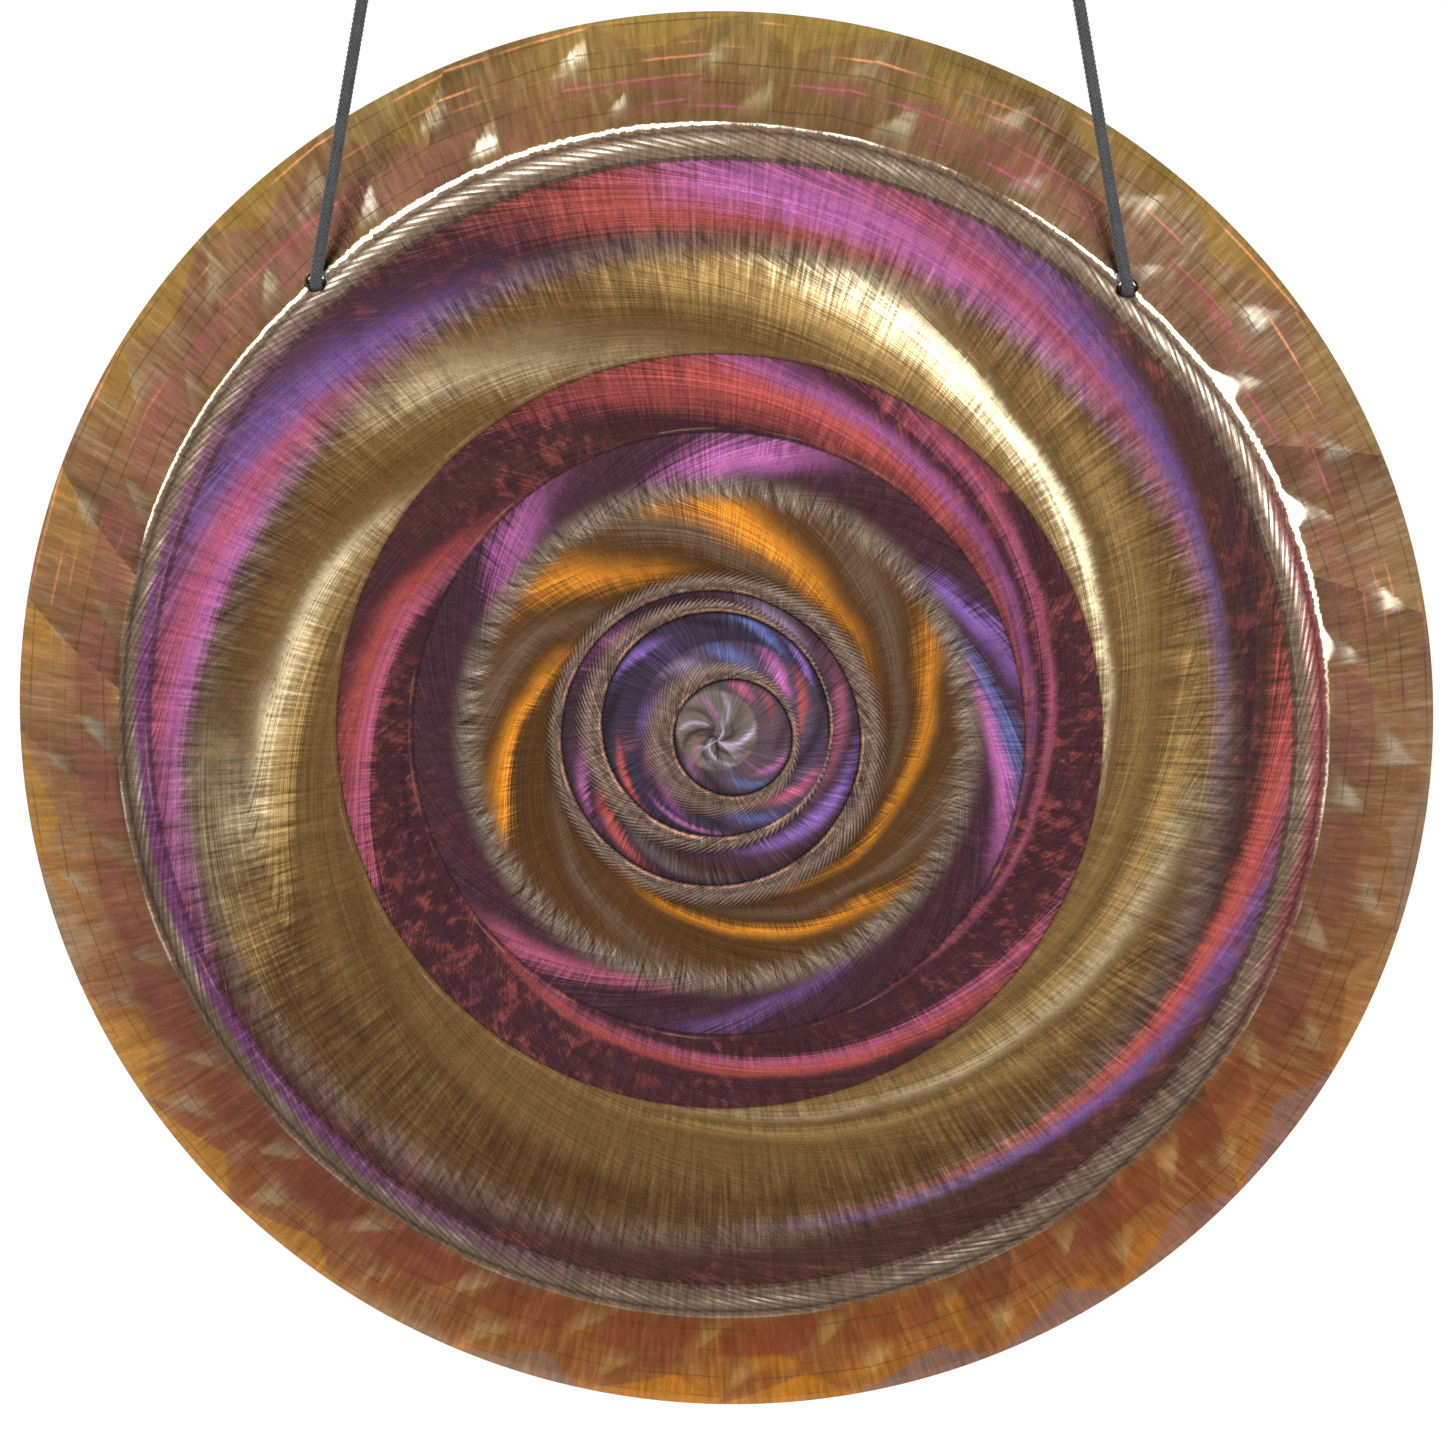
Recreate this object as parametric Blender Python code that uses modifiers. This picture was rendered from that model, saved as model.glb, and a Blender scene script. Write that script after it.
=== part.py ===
"""Tam tam gong, hung on two braided cords from two shouldered screw hooks.

The gong is one bronze sheet, spun and hammered: a slightly domed face with
turned rings, a rounded shoulder and a hammered rim that turns back. Each cord
is knotted behind the shoulder, goes out through its hole, up past the rim and
ends in a knotted loop that hangs on its hook.

Frame: metres, +Z up. The struck face looks along -Y, and +X is to the right of
someone who faces it. The origin is midway between the hooks, in the plane
where their collars seat under a beam.
"""

import math

import bmesh
import bpy
from mathutils import Vector

# Gong: diameter, sheet and the section of its front surface as (radius, height),
# with the height measured forward from the plane of the rim's edge.
RIM_RADIUS = 0.305
SHEET = 0.0015
SECTION = [
    (0.0000, 0.0509),
    (0.0140, 0.0507),
    (0.0280, 0.0502),
    (0.0370, 0.0493),
    (0.0500, 0.0495),
    (0.0680, 0.0483),
    (0.0715, 0.0486),
    (0.0880, 0.0478),
    (0.1080, 0.0464),
    (0.1245, 0.0449),
    (0.1280, 0.0452),
    (0.1440, 0.0434),
    (0.1600, 0.0410),
    (0.1635, 0.0412),
    (0.1760, 0.0390),
    (0.1940, 0.0364),
    (0.2140, 0.0334),
    (0.2330, 0.0306),
    (0.2430, 0.0286),
    (0.2490, 0.0282),
    (0.2580, 0.0256),
    (0.2680, 0.0218),
    (0.2790, 0.0168),
    (0.2900, 0.0110),
    (0.2990, 0.0052),
    (RIM_RADIUS, 0.0),
]
SECTION_STEPS = 72

# Cord holes: on the shoulder, each side of the top.
HOLE_RADIUS = 0.0040
HOLE_PITCH_RADIUS = 0.2576
HOLE_ANGLE = math.radians(42.15)

# Cord, its two knots and its loop.
CORD_RADIUS = 0.0025
CORD_LEAN = math.radians(9.9)
CORD_STANDOFF = 0.0042
TOUCH_GAP = 0.0003
STOPPER_RADIUS = 0.0070
LOOP_KNOT_RADIUS = 0.0065
LOOP_KNOT_HALF_LENGTH = 0.0080
LOOP_BEND = 0.0061

# Heights above the holes, along +Z.
FLEX_RISE = 0.006
LOOP_KNOT_RISE = 0.142
HOOK_WIRE_RISE = 0.178

# Screw hook: wire, bowl, neck, collar and shank.
HOOK_WIRE_RADIUS = 0.0025
BOWL_RADIUS = 0.009
BOWL_DEPTH = 0.019
BOWL_START = math.radians(55)
BOWL_END = math.radians(-200)
BOWL_STEPS = 17
NECK_TOP = 0.0015
NECK_STEPS = 6
COLLAR_RADIUS = 0.008
COLLAR_THICKNESS = 0.0012
COLLAR_DEPTH = 0.0030
SHANK_RADIUS = 0.0025
SHANK_LENGTH = 0.022
SHANK_TAPER = 0.006

# Places that follow from the dimensions above.
HOLE_X = HOLE_PITCH_RADIUS * math.sin(HOLE_ANGLE)
HOLE_UP = HOLE_PITCH_RADIUS * math.cos(HOLE_ANGLE)
CONTACT = Vector((math.sin(CORD_LEAN), 0.0, -math.cos(CORD_LEAN))) * BOWL_RADIUS
SWING_Z = -BOWL_DEPTH + CONTACT.z
HOLE_Z = SWING_Z - HOOK_WIRE_RISE
GONG_Z = HOLE_Z - HOLE_UP
LOOP_X = HOLE_X - HOOK_WIRE_RISE * math.tan(CORD_LEAN)
HOOK_X = LOOP_X - CONTACT.x
SWING_AXIS = Vector((0.0, 0.0, SWING_Z))
ROCK_AXIS = Vector((0.0, 0.0006, HOLE_Z + FLEX_RISE))


def section_height(radius):
    """Height of the gong's front surface at a radius, read along the section."""
    for (r0, h0), (r1, h1) in zip(SECTION, SECTION[1:]):
        if r0 <= radius <= r1:
            return h0 + (h1 - h0) * (radius - r0) / (r1 - r0)
    raise ValueError("radius lies outside the gong")


RIM_Y = CORD_STANDOFF + section_height(HOLE_PITCH_RADIUS)


def make_material(name, colour, metallic, roughness):
    material = bpy.data.materials.new(name)
    material.use_nodes = True
    shader = material.node_tree.nodes["Principled BSDF"]
    shader.inputs["Base Color"].default_value = (*colour, 1.0)
    shader.inputs["Metallic"].default_value = metallic
    shader.inputs["Roughness"].default_value = roughness
    return material


def make_collection(name):
    collection = bpy.data.collections.new(name)
    bpy.context.scene.collection.children.link(collection)
    return collection


def place(obj, collection, parent, origin, material=None):
    """Link an object with its origin at a world point, under an unrotated empty."""
    collection.objects.link(obj)
    obj.parent = parent
    obj.location = Vector(origin) - (parent.location if parent else Vector())
    if material:
        obj.data.materials.append(material)
    return obj


def make_pivot(name, point):
    pivot = bpy.data.objects.new(name, None)
    bpy.context.scene.collection.objects.link(pivot)
    pivot.location = point
    return pivot


def turned(name, profile, steps):
    """A profile of (radius, height) turned about local Z with a Screw modifier."""
    mesh = bpy.data.meshes.new(name)
    points = [(radius, 0.0, height) for radius, height in profile]
    mesh.from_pydata(points, [(i, i + 1) for i in range(len(points) - 1)], [])
    obj = bpy.data.objects.new(name, mesh)
    screw = obj.modifiers.new("turn", "SCREW")
    screw.axis = "Z"
    screw.steps = steps
    screw.render_steps = steps
    screw.use_merge_vertices = True
    screw.merge_threshold = 0.00001
    screw.use_smooth_shade = True
    return obj


def round_wire(name, points, radius, taper=None):
    """A round wire or cord along points, with filled caps."""
    curve = bpy.data.curves.new(name, "CURVE")
    curve.dimensions = "3D"
    curve.bevel_depth = radius
    curve.bevel_resolution = 2
    curve.use_fill_caps = True
    spline = curve.splines.new("POLY")
    spline.points.add(len(points) - 1)
    for i, (target, point) in enumerate(zip(spline.points, points)):
        target.co = (*point, 1.0)
        target.radius = taper[i] if taper else 1.0
    return bpy.data.objects.new(name, curve)


def mesh_from_curve(curve_object):
    """Replace a placed curve object by a closed mesh with the same place."""
    bpy.context.view_layer.update()
    evaluated = curve_object.evaluated_get(bpy.context.evaluated_depsgraph_get())
    mesh = bpy.data.meshes.new_from_object(evaluated)
    cleaner = bmesh.new()
    cleaner.from_mesh(mesh)
    bmesh.ops.remove_doubles(cleaner, verts=cleaner.verts, dist=0.00001)
    bmesh.ops.recalc_face_normals(cleaner, faces=cleaner.faces)
    cleaner.to_mesh(mesh)
    cleaner.free()
    name = curve_object.name
    world = curve_object.matrix_world.copy()
    collection = curve_object.users_collection[0]
    bpy.data.objects.remove(curve_object)
    obj = bpy.data.objects.new(name, mesh)
    collection.objects.link(obj)
    obj.matrix_world = world
    return obj


def ellipsoid(name, radius, half_length, direction):
    """A knot's outer form: a sphere drawn out along a direction."""
    mesh = bpy.data.meshes.new(name)
    shape = bmesh.new()
    bmesh.ops.create_uvsphere(shape, u_segments=16, v_segments=10, radius=radius)
    bmesh.ops.scale(shape, vec=(1.0, 1.0, half_length / radius), verts=shape.verts)
    turn = Vector((0.0, 0.0, 1.0)).rotation_difference(direction).to_matrix()
    bmesh.ops.rotate(shape, cent=(0.0, 0.0, 0.0), matrix=turn, verts=shape.verts)
    shape.to_mesh(mesh)
    shape.free()
    mesh.shade_smooth()
    return bpy.data.objects.new(name, mesh)


def combine(obj, other, operation):
    boolean = obj.modifiers.new(operation.lower(), "BOOLEAN")
    boolean.operation = operation
    boolean.solver = "EXACT"
    boolean.object = other
    other.hide_render = True
    other.display_type = "WIRE"


def smooth_route(points, spacing):
    """Points about one spacing apart on a Catmull-Rom curve through the points."""
    points = [Vector(p) for p in points]
    ends = [2 * points[0] - points[1], *points, 2 * points[-1] - points[-2]]
    route = [points[0]]
    for before, start, end, after in zip(ends, ends[1:], ends[2:], ends[3:]):
        count = max(1, round((end - start).length / spacing))
        for step in range(1, count + 1):
            t = step / count
            route.append(
                0.5
                * (
                    2 * start
                    + (end - before) * t
                    + (2 * before - 5 * start + 4 * end - after) * t**2
                    + (3 * start - before - 3 * end + after) * t**3
                )
            )
    return route


def rounded_end(points):
    """Taper factors and points that give the first end of a cord a ball end.

    The end then turns in its neighbour's ball end without touching it.
    """
    first, second = points[0], points[1]
    along = (second - first).normalized()
    steps = [0.04, 0.25, 0.55, 1.0]
    rounding = [first + along * (TOUCH_GAP / 2 + s * CORD_RADIUS) for s in steps]
    factors = [math.sqrt(1 - (1 - s) ** 2) for s in steps]
    reach = (rounding[-1] - first).length
    rest = [p for p in points[1:] if (p - first).length > reach + CORD_RADIUS / 2]
    return rounding + rest, factors + [1.0] * len(rest)


def cord_direction(side):
    """Unit vector up a cord's straight run, which leans in towards the middle."""
    return Vector((-side * math.sin(CORD_LEAN), 0.0, math.cos(CORD_LEAN)))


def on_cord(side, rise):
    """The point on a cord's straight run at a height above its hole."""
    return Vector((side * (HOLE_X - rise * math.tan(CORD_LEAN)), 0.0, HOLE_Z + rise))


def below_flex_route(side):
    """The cord's route from its stopper knot, through its hole, to its flex point."""
    hole = Vector((side * HOLE_X, 0.0, HOLE_Z))
    return [
        hole + Vector((0.0, 0.0122, -0.0066)),
        hole + Vector((0.0, 0.0050, -0.0004)),
        on_cord(side, FLEX_RISE) + Vector((0.0, ROCK_AXIS.y, 0.0)),
    ]


def above_flex_route(side):
    """The cord's route from its flex point to the foot of its loop knot."""
    flex = on_cord(side, FLEX_RISE) + Vector((0.0, ROCK_AXIS.y, 0.0))
    knot_foot = LOOP_KNOT_HALF_LENGTH + TOUCH_GAP
    top = on_cord(side, LOOP_KNOT_RISE) - cord_direction(side) * knot_foot
    return [flex, on_cord(side, 0.014), on_cord(side, 0.060), on_cord(side, 0.100), top]


def make_gong(parts, cutters, pivot, bronze):
    gong = turned("gong_disc", SECTION, SECTION_STEPS)
    sheet = gong.modifiers.new("sheet", "SOLIDIFY")
    sheet.thickness = SHEET
    sheet.offset = -1.0
    sheet.use_even_offset = True
    place(gong, parts, pivot, (0.0, RIM_Y, GONG_Z), bronze)
    gong.rotation_euler = (math.pi / 2, 0.0, 0.0)
    shoulder_drop = section_height(HOLE_PITCH_RADIUS - 0.005) - section_height(
        HOLE_PITCH_RADIUS + 0.005
    )
    slope = math.atan2(shoulder_drop, 0.010)
    for side, label in ((-1, "left"), (1, "right")):
        mesh = bpy.data.meshes.new(f"hole_cutter_{label}")
        drill = bmesh.new()
        bmesh.ops.create_cone(
            drill,
            cap_ends=True,
            segments=24,
            radius1=HOLE_RADIUS,
            radius2=HOLE_RADIUS,
            depth=0.012,
        )
        drill.to_mesh(mesh)
        drill.free()
        cutter = bpy.data.objects.new(mesh.name, mesh)
        place(cutter, cutters, None, (side * HOLE_X, CORD_STANDOFF, HOLE_Z))
        outward = Vector((side * math.sin(HOLE_ANGLE), 0.0, math.cos(HOLE_ANGLE)))
        forward = Vector((0.0, -1.0, 0.0))
        normal = forward * math.cos(slope) + outward * math.sin(slope)
        cutter.rotation_mode = "QUATERNION"
        cutter.rotation_quaternion = Vector((0.0, 0.0, 1.0)).rotation_difference(normal)
        combine(gong, cutter, "DIFFERENCE")


def make_stopper_knot(parts, cutters, pivot, cord, side, label):
    """The knot behind the sheet, with the stretch of cord that fills the hole."""
    route = smooth_route(below_flex_route(side), 0.003)
    direction = (route[1] - route[0]).normalized()
    points, taper = rounded_end(list(reversed(route)))
    tail = round_wire(
        f"stopper_tail_{label}", [p - ROCK_AXIS for p in points], CORD_RADIUS, taper
    )
    tail = mesh_from_curve(place(tail, cutters, pivot, ROCK_AXIS))
    knot = ellipsoid(
        f"stopper_knot_{label}", STOPPER_RADIUS, STOPPER_RADIUS, direction
    )
    place(knot, parts, pivot, route[0], cord)
    combine(knot, tail, "UNION")


def make_cord(parts, pivot, cord, side, label):
    route = smooth_route(above_flex_route(side), 0.011)
    points, taper = rounded_end(route)
    strand = round_wire(
        f"cord_{label}", [p - SWING_AXIS for p in points], CORD_RADIUS, taper
    )
    place(strand, parts, pivot, SWING_AXIS, cord)


def make_loop(parts, pivot, cord, side, label):
    """The loop knot, and the teardrop loop from it round the hook's wire."""
    up = cord_direction(side)
    knot_centre = on_cord(side, LOOP_KNOT_RISE)
    knot = ellipsoid(
        f"loop_knot_{label}", LOOP_KNOT_RADIUS, LOOP_KNOT_HALF_LENGTH, up
    )
    place(knot, parts, pivot, knot_centre, cord)
    knot_top = knot_centre + up * LOOP_KNOT_HALF_LENGTH
    height = (on_cord(side, HOOK_WIRE_RISE) - knot_top).length
    leg = [(0.0004, 0.00265), (0.007, 0.0034), (0.014, 0.0050)]
    bend_steps = 12
    bend = [
        (
            height + LOOP_BEND * math.sin(math.pi * i / bend_steps),
            LOOP_BEND * math.cos(math.pi * i / bend_steps),
        )
        for i in range(bend_steps + 1)
    ]
    outline = leg + bend + [(along, -across) for along, across in reversed(leg)]
    points = [
        knot_top + up * along + Vector((0.0, across, 0.0)) - SWING_AXIS
        for along, across in outline
    ]
    loop = round_wire(f"hanging_loop_{label}", points, CORD_RADIUS)
    place(loop, parts, pivot, SWING_AXIS, cord)


def hook_wire_points():
    """The hook's wire from inside its collar, down the neck and round the bowl."""
    centre = Vector((0.0, 0.0, -BOWL_DEPTH))
    bowl = []
    for i in range(BOWL_STEPS + 1):
        angle = BOWL_START + (BOWL_END - BOWL_START) * i / BOWL_STEPS
        spoke = Vector((math.cos(angle), 0.0, math.sin(angle)))
        bowl.append(centre + spoke * BOWL_RADIUS)
    top = Vector((0.0, 0.0, -NECK_TOP))
    reach = (bowl[0] - top).length
    down = Vector((0.0, 0.0, -reach))
    into_bowl = Vector((math.sin(BOWL_START), 0.0, -math.cos(BOWL_START))) * reach
    neck = []
    for i in range(NECK_STEPS):
        t = i / NECK_STEPS
        neck.append(
            top * (2 * t**3 - 3 * t**2 + 1)
            + down * (t**3 - 2 * t**2 + t)
            + bowl[0] * (3 * t**2 - 2 * t**3)
            + into_bowl * (t**3 - t**2)
        )
    return neck + bowl


def make_hook(parts, cutters, steel, side, label):
    """A screw hook: pointed shank above the beam's face, collar, neck and bowl."""
    profile = [
        (0.0, SHANK_LENGTH),
        (SHANK_RADIUS, SHANK_LENGTH - SHANK_TAPER),
        (SHANK_RADIUS, 0.0),
        (COLLAR_RADIUS, 0.0),
        (COLLAR_RADIUS, -COLLAR_THICKNESS),
        (SHANK_RADIUS + 0.001, -COLLAR_DEPTH),
        (0.0, -COLLAR_DEPTH),
    ]
    hook = turned(f"screw_hook_{label}", profile, 24)
    place(hook, parts, None, (side * HOOK_X, 0.0, 0.0), steel)
    facing = 0.0 if side > 0 else math.pi
    hook.rotation_euler = (0.0, 0.0, facing)
    wire = round_wire(f"hook_wire_{label}", hook_wire_points(), HOOK_WIRE_RADIUS)
    place(wire, cutters, None, (side * HOOK_X, 0.0, 0.0))
    wire.rotation_euler = (0.0, 0.0, facing)
    combine(hook, mesh_from_curve(wire), "UNION")


def main():
    for obj in list(bpy.data.objects):
        bpy.data.objects.remove(obj)
    parts = make_collection("tam_tam_gong")
    cutters = make_collection("cutters")
    bronze = make_material("hammered_bronze", (0.42, 0.27, 0.12), 1.0, 0.35)
    cord = make_material("braided_cord", (0.07, 0.07, 0.08), 0.0, 0.85)
    steel = make_material("zinc_steel", (0.62, 0.62, 0.60), 1.0, 0.35)
    swing = make_pivot("swing_axis", SWING_AXIS)
    rock = make_pivot("rock_axis", ROCK_AXIS)
    make_gong(parts, cutters, rock, bronze)
    for side, label in ((-1, "left"), (1, "right")):
        make_stopper_knot(parts, cutters, rock, cord, side, label)
        make_cord(parts, swing, cord, side, label)
        make_loop(parts, swing, cord, side, label)
        make_hook(parts, cutters, steel, side, label)
    bpy.context.view_layer.update()


main()
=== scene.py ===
"""Looks of the tam tam gong on its two braided cords and screw hooks.

Frame: metres, +Z up. The struck face looks along -Y, and +X is to the right of
someone who faces it. Angles round the gong run clockwise from its top, as that
person sees them.
"""

import copy
import math

import bmesh
import bpy
import numpy as np
from mathutils import Matrix, Vector


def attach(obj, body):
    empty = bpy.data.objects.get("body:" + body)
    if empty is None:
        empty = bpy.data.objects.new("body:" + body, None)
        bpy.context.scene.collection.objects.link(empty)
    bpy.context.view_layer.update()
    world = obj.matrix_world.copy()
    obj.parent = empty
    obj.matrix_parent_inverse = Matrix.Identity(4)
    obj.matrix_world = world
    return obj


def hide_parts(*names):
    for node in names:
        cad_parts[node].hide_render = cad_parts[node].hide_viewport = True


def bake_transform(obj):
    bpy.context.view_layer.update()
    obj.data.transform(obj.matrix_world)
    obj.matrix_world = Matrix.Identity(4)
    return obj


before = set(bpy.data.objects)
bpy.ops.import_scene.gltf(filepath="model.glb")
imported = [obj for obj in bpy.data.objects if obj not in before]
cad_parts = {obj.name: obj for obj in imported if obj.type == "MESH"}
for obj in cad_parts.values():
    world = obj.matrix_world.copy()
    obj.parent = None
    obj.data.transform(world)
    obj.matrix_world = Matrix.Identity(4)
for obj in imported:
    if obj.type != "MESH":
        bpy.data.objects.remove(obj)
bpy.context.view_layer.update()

FULL_TURN = 2 * math.pi

# The gong's section as (radius, height of the front surface), from its CAD source.
RIM_RADIUS = 0.305
SHEET = 0.0015
SECTION = [
    (0.0000, 0.0509), (0.0140, 0.0507), (0.0280, 0.0502), (0.0370, 0.0493), (0.0500, 0.0495),
    (0.0680, 0.0483), (0.0715, 0.0486), (0.0880, 0.0478), (0.1080, 0.0464), (0.1245, 0.0449),
    (0.1280, 0.0452), (0.1440, 0.0434), (0.1600, 0.0410), (0.1635, 0.0412), (0.1760, 0.0390),
    (0.1940, 0.0364), (0.2140, 0.0334), (0.2330, 0.0306), (0.2430, 0.0286), (0.2490, 0.0282),
    (0.2580, 0.0256), (0.2680, 0.0218), (0.2790, 0.0168), (0.2900, 0.0110), (0.2990, 0.0052),
    (0.3050, 0.0),
]

# Cord holes and the cords' route, from the CAD source.
HOLE_RADIUS = 0.0040
HOLE_PITCH_RADIUS = 0.2576
HOLE_ANGLE = math.radians(42.15)
HOLE_X = HOLE_PITCH_RADIUS * math.sin(HOLE_ANGLE)
HOLE_UP = HOLE_PITCH_RADIUS * math.cos(HOLE_ANGLE)
CORD_DIAMETER = 0.005
CORD_LEAN = math.radians(9.9)
HOOK_WIRE_RADIUS = 0.0025
BOWL_RADIUS = 0.009
BOWL_DEPTH = 0.019
BOWL_START = math.radians(55)
BOWL_END = math.radians(-200)
BOWL_STEPS = 51
NECK_TOP = 0.0015
NECK_STEPS = 18
COLLAR_RADIUS = 0.008
COLLAR_THICKNESS = 0.0012
COLLAR_DEPTH = 0.0030
SHANK_RADIUS = 0.0025
SHANK_LENGTH = 0.022
SHANK_TAPER = 0.006
THREAD_PITCH = 0.0018
THREAD_DEPTH = 0.0006
HOOK_WIRE_RISE = 0.178
LOOP_KNOT_RISE = 0.142
LOOP_KNOT_HALF_LENGTH = 0.0080
STOPPER_RADIUS = 0.0070
LOOP_KNOT_RADIUS = 0.0065
LOOP_BEND = 0.0061
KNOT_STEPS = 72
FLEX_RISE = 0.006
FLEX_FORWARD = 0.0006
SWING_Z = -BOWL_DEPTH - BOWL_RADIUS * math.cos(CORD_LEAN)
HOLE_Z = SWING_Z - HOOK_WIRE_RISE
HOOK_X = HOLE_X - HOOK_WIRE_RISE * math.tan(CORD_LEAN) - BOWL_RADIUS * math.sin(CORD_LEAN)
GONG_CENTRE = Vector((0.0, 0.029916, HOLE_Z - HOLE_UP))
SIDES = ((-1, "left"), (1, "right"))


# --- Camera -----------------------------------------------------------------

CAMERA_AZIMUTH = math.radians(3.05)
CAMERA_ELEVATION = math.radians(10.3)
CAMERA_DISTANCE = 4.331
LENS = 250.0


def add_object(name, data):
    obj = bpy.data.objects.new(name, data)
    bpy.context.scene.collection.objects.link(obj)
    return obj


def make_camera():
    """A long lens in front of the gong, a little to its right and above it."""
    azimuth, elevation = CAMERA_AZIMUTH, CAMERA_ELEVATION
    aim = GONG_CENTRE + Vector((-0.0006, 0.0, -0.0031))
    back = Vector(
        (
            math.sin(azimuth) * math.cos(elevation),
            -math.cos(azimuth) * math.cos(elevation),
            math.sin(elevation),
        )
    )
    camera = add_object("camera", bpy.data.cameras.new("camera"))
    camera.data.lens = LENS
    camera.data.sensor_width = 36.0
    camera.data.clip_end = 100.0
    camera.location = aim + back * CAMERA_DISTANCE
    camera.rotation_mode = "QUATERNION"
    camera.rotation_quaternion = (-back).to_track_quat("-Z", "Y")
    bpy.context.scene.camera = camera


# --- Node maths -------------------------------------------------------------


def srgb(text):
    """Linear RGB from a six-digit colour."""
    values = [int(text[i : i + 2], 16) / 255 for i in (0, 2, 4)]
    return tuple(v / 12.92 if v <= 0.04045 else ((v + 0.055) / 1.055) ** 2.4 for v in values)


class Value:
    """A number output of a node that takes part in Python arithmetic."""

    def __init__(self, graph, socket):
        self.graph = graph
        self.socket = socket

    def __add__(self, other):
        return self.graph.math("ADD", self, other)

    def __sub__(self, other):
        return self.graph.math("SUBTRACT", self, other)

    def __rsub__(self, other):
        return self.graph.math("SUBTRACT", other, self)

    def __mul__(self, other):
        return self.graph.math("MULTIPLY", self, other)

    def __truediv__(self, other):
        return self.graph.math("DIVIDE", self, other)

    def __pow__(self, other):
        return self.graph.math("POWER", self, other)

    __radd__ = __add__
    __rmul__ = __mul__


class Graph:
    """A node tree, written as expressions: a material's own, or a group's."""

    def __init__(self, name, group=False):
        if group:
            self.tree = bpy.data.node_groups.new(name, "ShaderNodeTree")
            return
        self.material = bpy.data.materials.new(name)
        self.material.use_nodes = True
        self.tree = self.material.node_tree
        self.shader = self.tree.nodes["Principled BSDF"]

    def node(self, kind, **settings):
        node = self.tree.nodes.new(kind)
        for key, value in settings.items():
            setattr(node, key, value)
        return node

    def link(self, value, socket):
        if isinstance(value, Value):
            self.tree.links.new(value.socket, socket)
        elif isinstance(value, bpy.types.NodeSocket):
            self.tree.links.new(value, socket)
        else:
            socket.default_value = value

    def math(self, operation, *values, clamp=False):
        node = self.node("ShaderNodeMath", operation=operation, use_clamp=clamp)
        for value, socket in zip(values, node.inputs):
            self.link(value, socket)
        return Value(self, node.outputs[0])

    def clamp(self, value):
        return self.math("ADD", value, 0.0, clamp=True)

    def vector(self, x, y, z):
        node = self.node("ShaderNodeCombineXYZ")
        for value, socket in zip((x, y, z), node.inputs):
            self.link(value, socket)
        return node.outputs[0]

    def step(self, value, low, high):
        """A smooth rise from 0 at low to 1 at high."""
        node = self.node("ShaderNodeMapRange", interpolation_type="SMOOTHSTEP")
        self.link(value, node.inputs["Value"])
        self.link(low, node.inputs["From Min"])
        self.link(high, node.inputs["From Max"])
        return Value(self, node.outputs["Result"])

    def bump_at(self, value, centre, width):
        """1 where value is at the centre, and 0 a width away from it and beyond."""
        distance = self.math("ABSOLUTE", value - centre)
        return self.step(distance, width, 0.0)

    def noise(self, vector, scale=1.0, detail=2.0, roughness=0.5, distortion=0.0):
        node = self.node("ShaderNodeTexNoise")
        self.link(vector, node.inputs["Vector"])
        node.inputs["Scale"].default_value = scale
        node.inputs["Detail"].default_value = detail
        node.inputs["Roughness"].default_value = roughness
        node.inputs["Distortion"].default_value = distortion
        return Value(self, node.outputs["Fac"])

    def random(self, value):
        node = self.node("ShaderNodeTexWhiteNoise", noise_dimensions="1D")
        self.link(value, node.inputs["W"])
        return Value(self, node.outputs["Value"])

    def mix(self, factor, first, second, blend="MIX"):
        node = self.node("ShaderNodeMix", data_type="RGBA", blend_type=blend)
        node.clamp_factor = True
        self.link(factor, node.inputs[0])
        for value, socket in ((first, node.inputs[6]), (second, node.inputs[7])):
            self.link((*value, 1.0) if isinstance(value, tuple) else value, socket)
        return node.outputs[2]

    def ramp(self, factor, stops, interpolation="EASE"):
        """A colour ramp through (position, colour) stops in rising order."""
        node = self.node("ShaderNodeValToRGB")
        self.link(factor, node.inputs[0])
        elements = node.color_ramp.elements
        node.color_ramp.interpolation = interpolation
        while len(elements) < len(stops):
            elements.new(1.0)
        for element, (position, colour) in zip(elements, stops):
            element.position = position
            element.color = (*colour, 1.0)
        return node.outputs[0]

    def bumped(self, height, distance, strength=1.0):
        node = self.node("ShaderNodeBump")
        node.inputs["Strength"].default_value = strength
        node.inputs["Distance"].default_value = distance
        self.link(height, node.inputs["Height"])
        self.tree.links.new(node.outputs[0], self.shader.inputs["Normal"])

    def place(self):
        """The surface point's x, y and z in the piece's own frame, and the socket."""
        coordinates = self.node("ShaderNodeTexCoord").outputs["Object"]
        split = self.node("ShaderNodeSeparateXYZ")
        self.tree.links.new(coordinates, split.inputs[0])
        return [Value(self, s) for s in split.outputs] + [coordinates]


# --- The gong's finish ------------------------------------------------------

# Tints of the oxides that the torch and the lathe left on the bronze. The bands
# drawn with them are partly that tint and partly painted reflection; some tints
# below are painted highlight or painted shade.
UMBER = srgb("5a3d35")
MAROON = srgb("56353a")
PLUM = srgb("513740")
NIGHT = srgb("5a4a58")
BROWN = srgb("6b4a2c")
BRASS = srgb("84663c")
GOLD = srgb("c9a566")
# Painted highlight: the hot cores of the gold bands.
PALE_GOLD_HIGHLIGHT = srgb("fdeec2")
ORANGE = srgb("f49c33")
CORAL = srgb("de6a60")
PINK = srgb("d8708f")
MAGENTA = srgb("d67bbd")
VIOLET = srgb("a077c8")
BLUE = srgb("7783c4")
LILAC = srgb("c9b3d2")
TAUPE = srgb("86766d")
FUR = srgb("8c7864")
# Painted highlight on the shoulder's crest, the strip and the flames' glints.
CREAM_HIGHLIGHT = srgb("fff3dc")
# Painted highlight on the lips just outside the hub's rings.
LIP_HIGHLIGHT = srgb("e8a888")
# Painted shade: in grooves and folds, outside the collars, and dark bands about the hub.
PAINTED_SHADE = srgb("2c201d")
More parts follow.
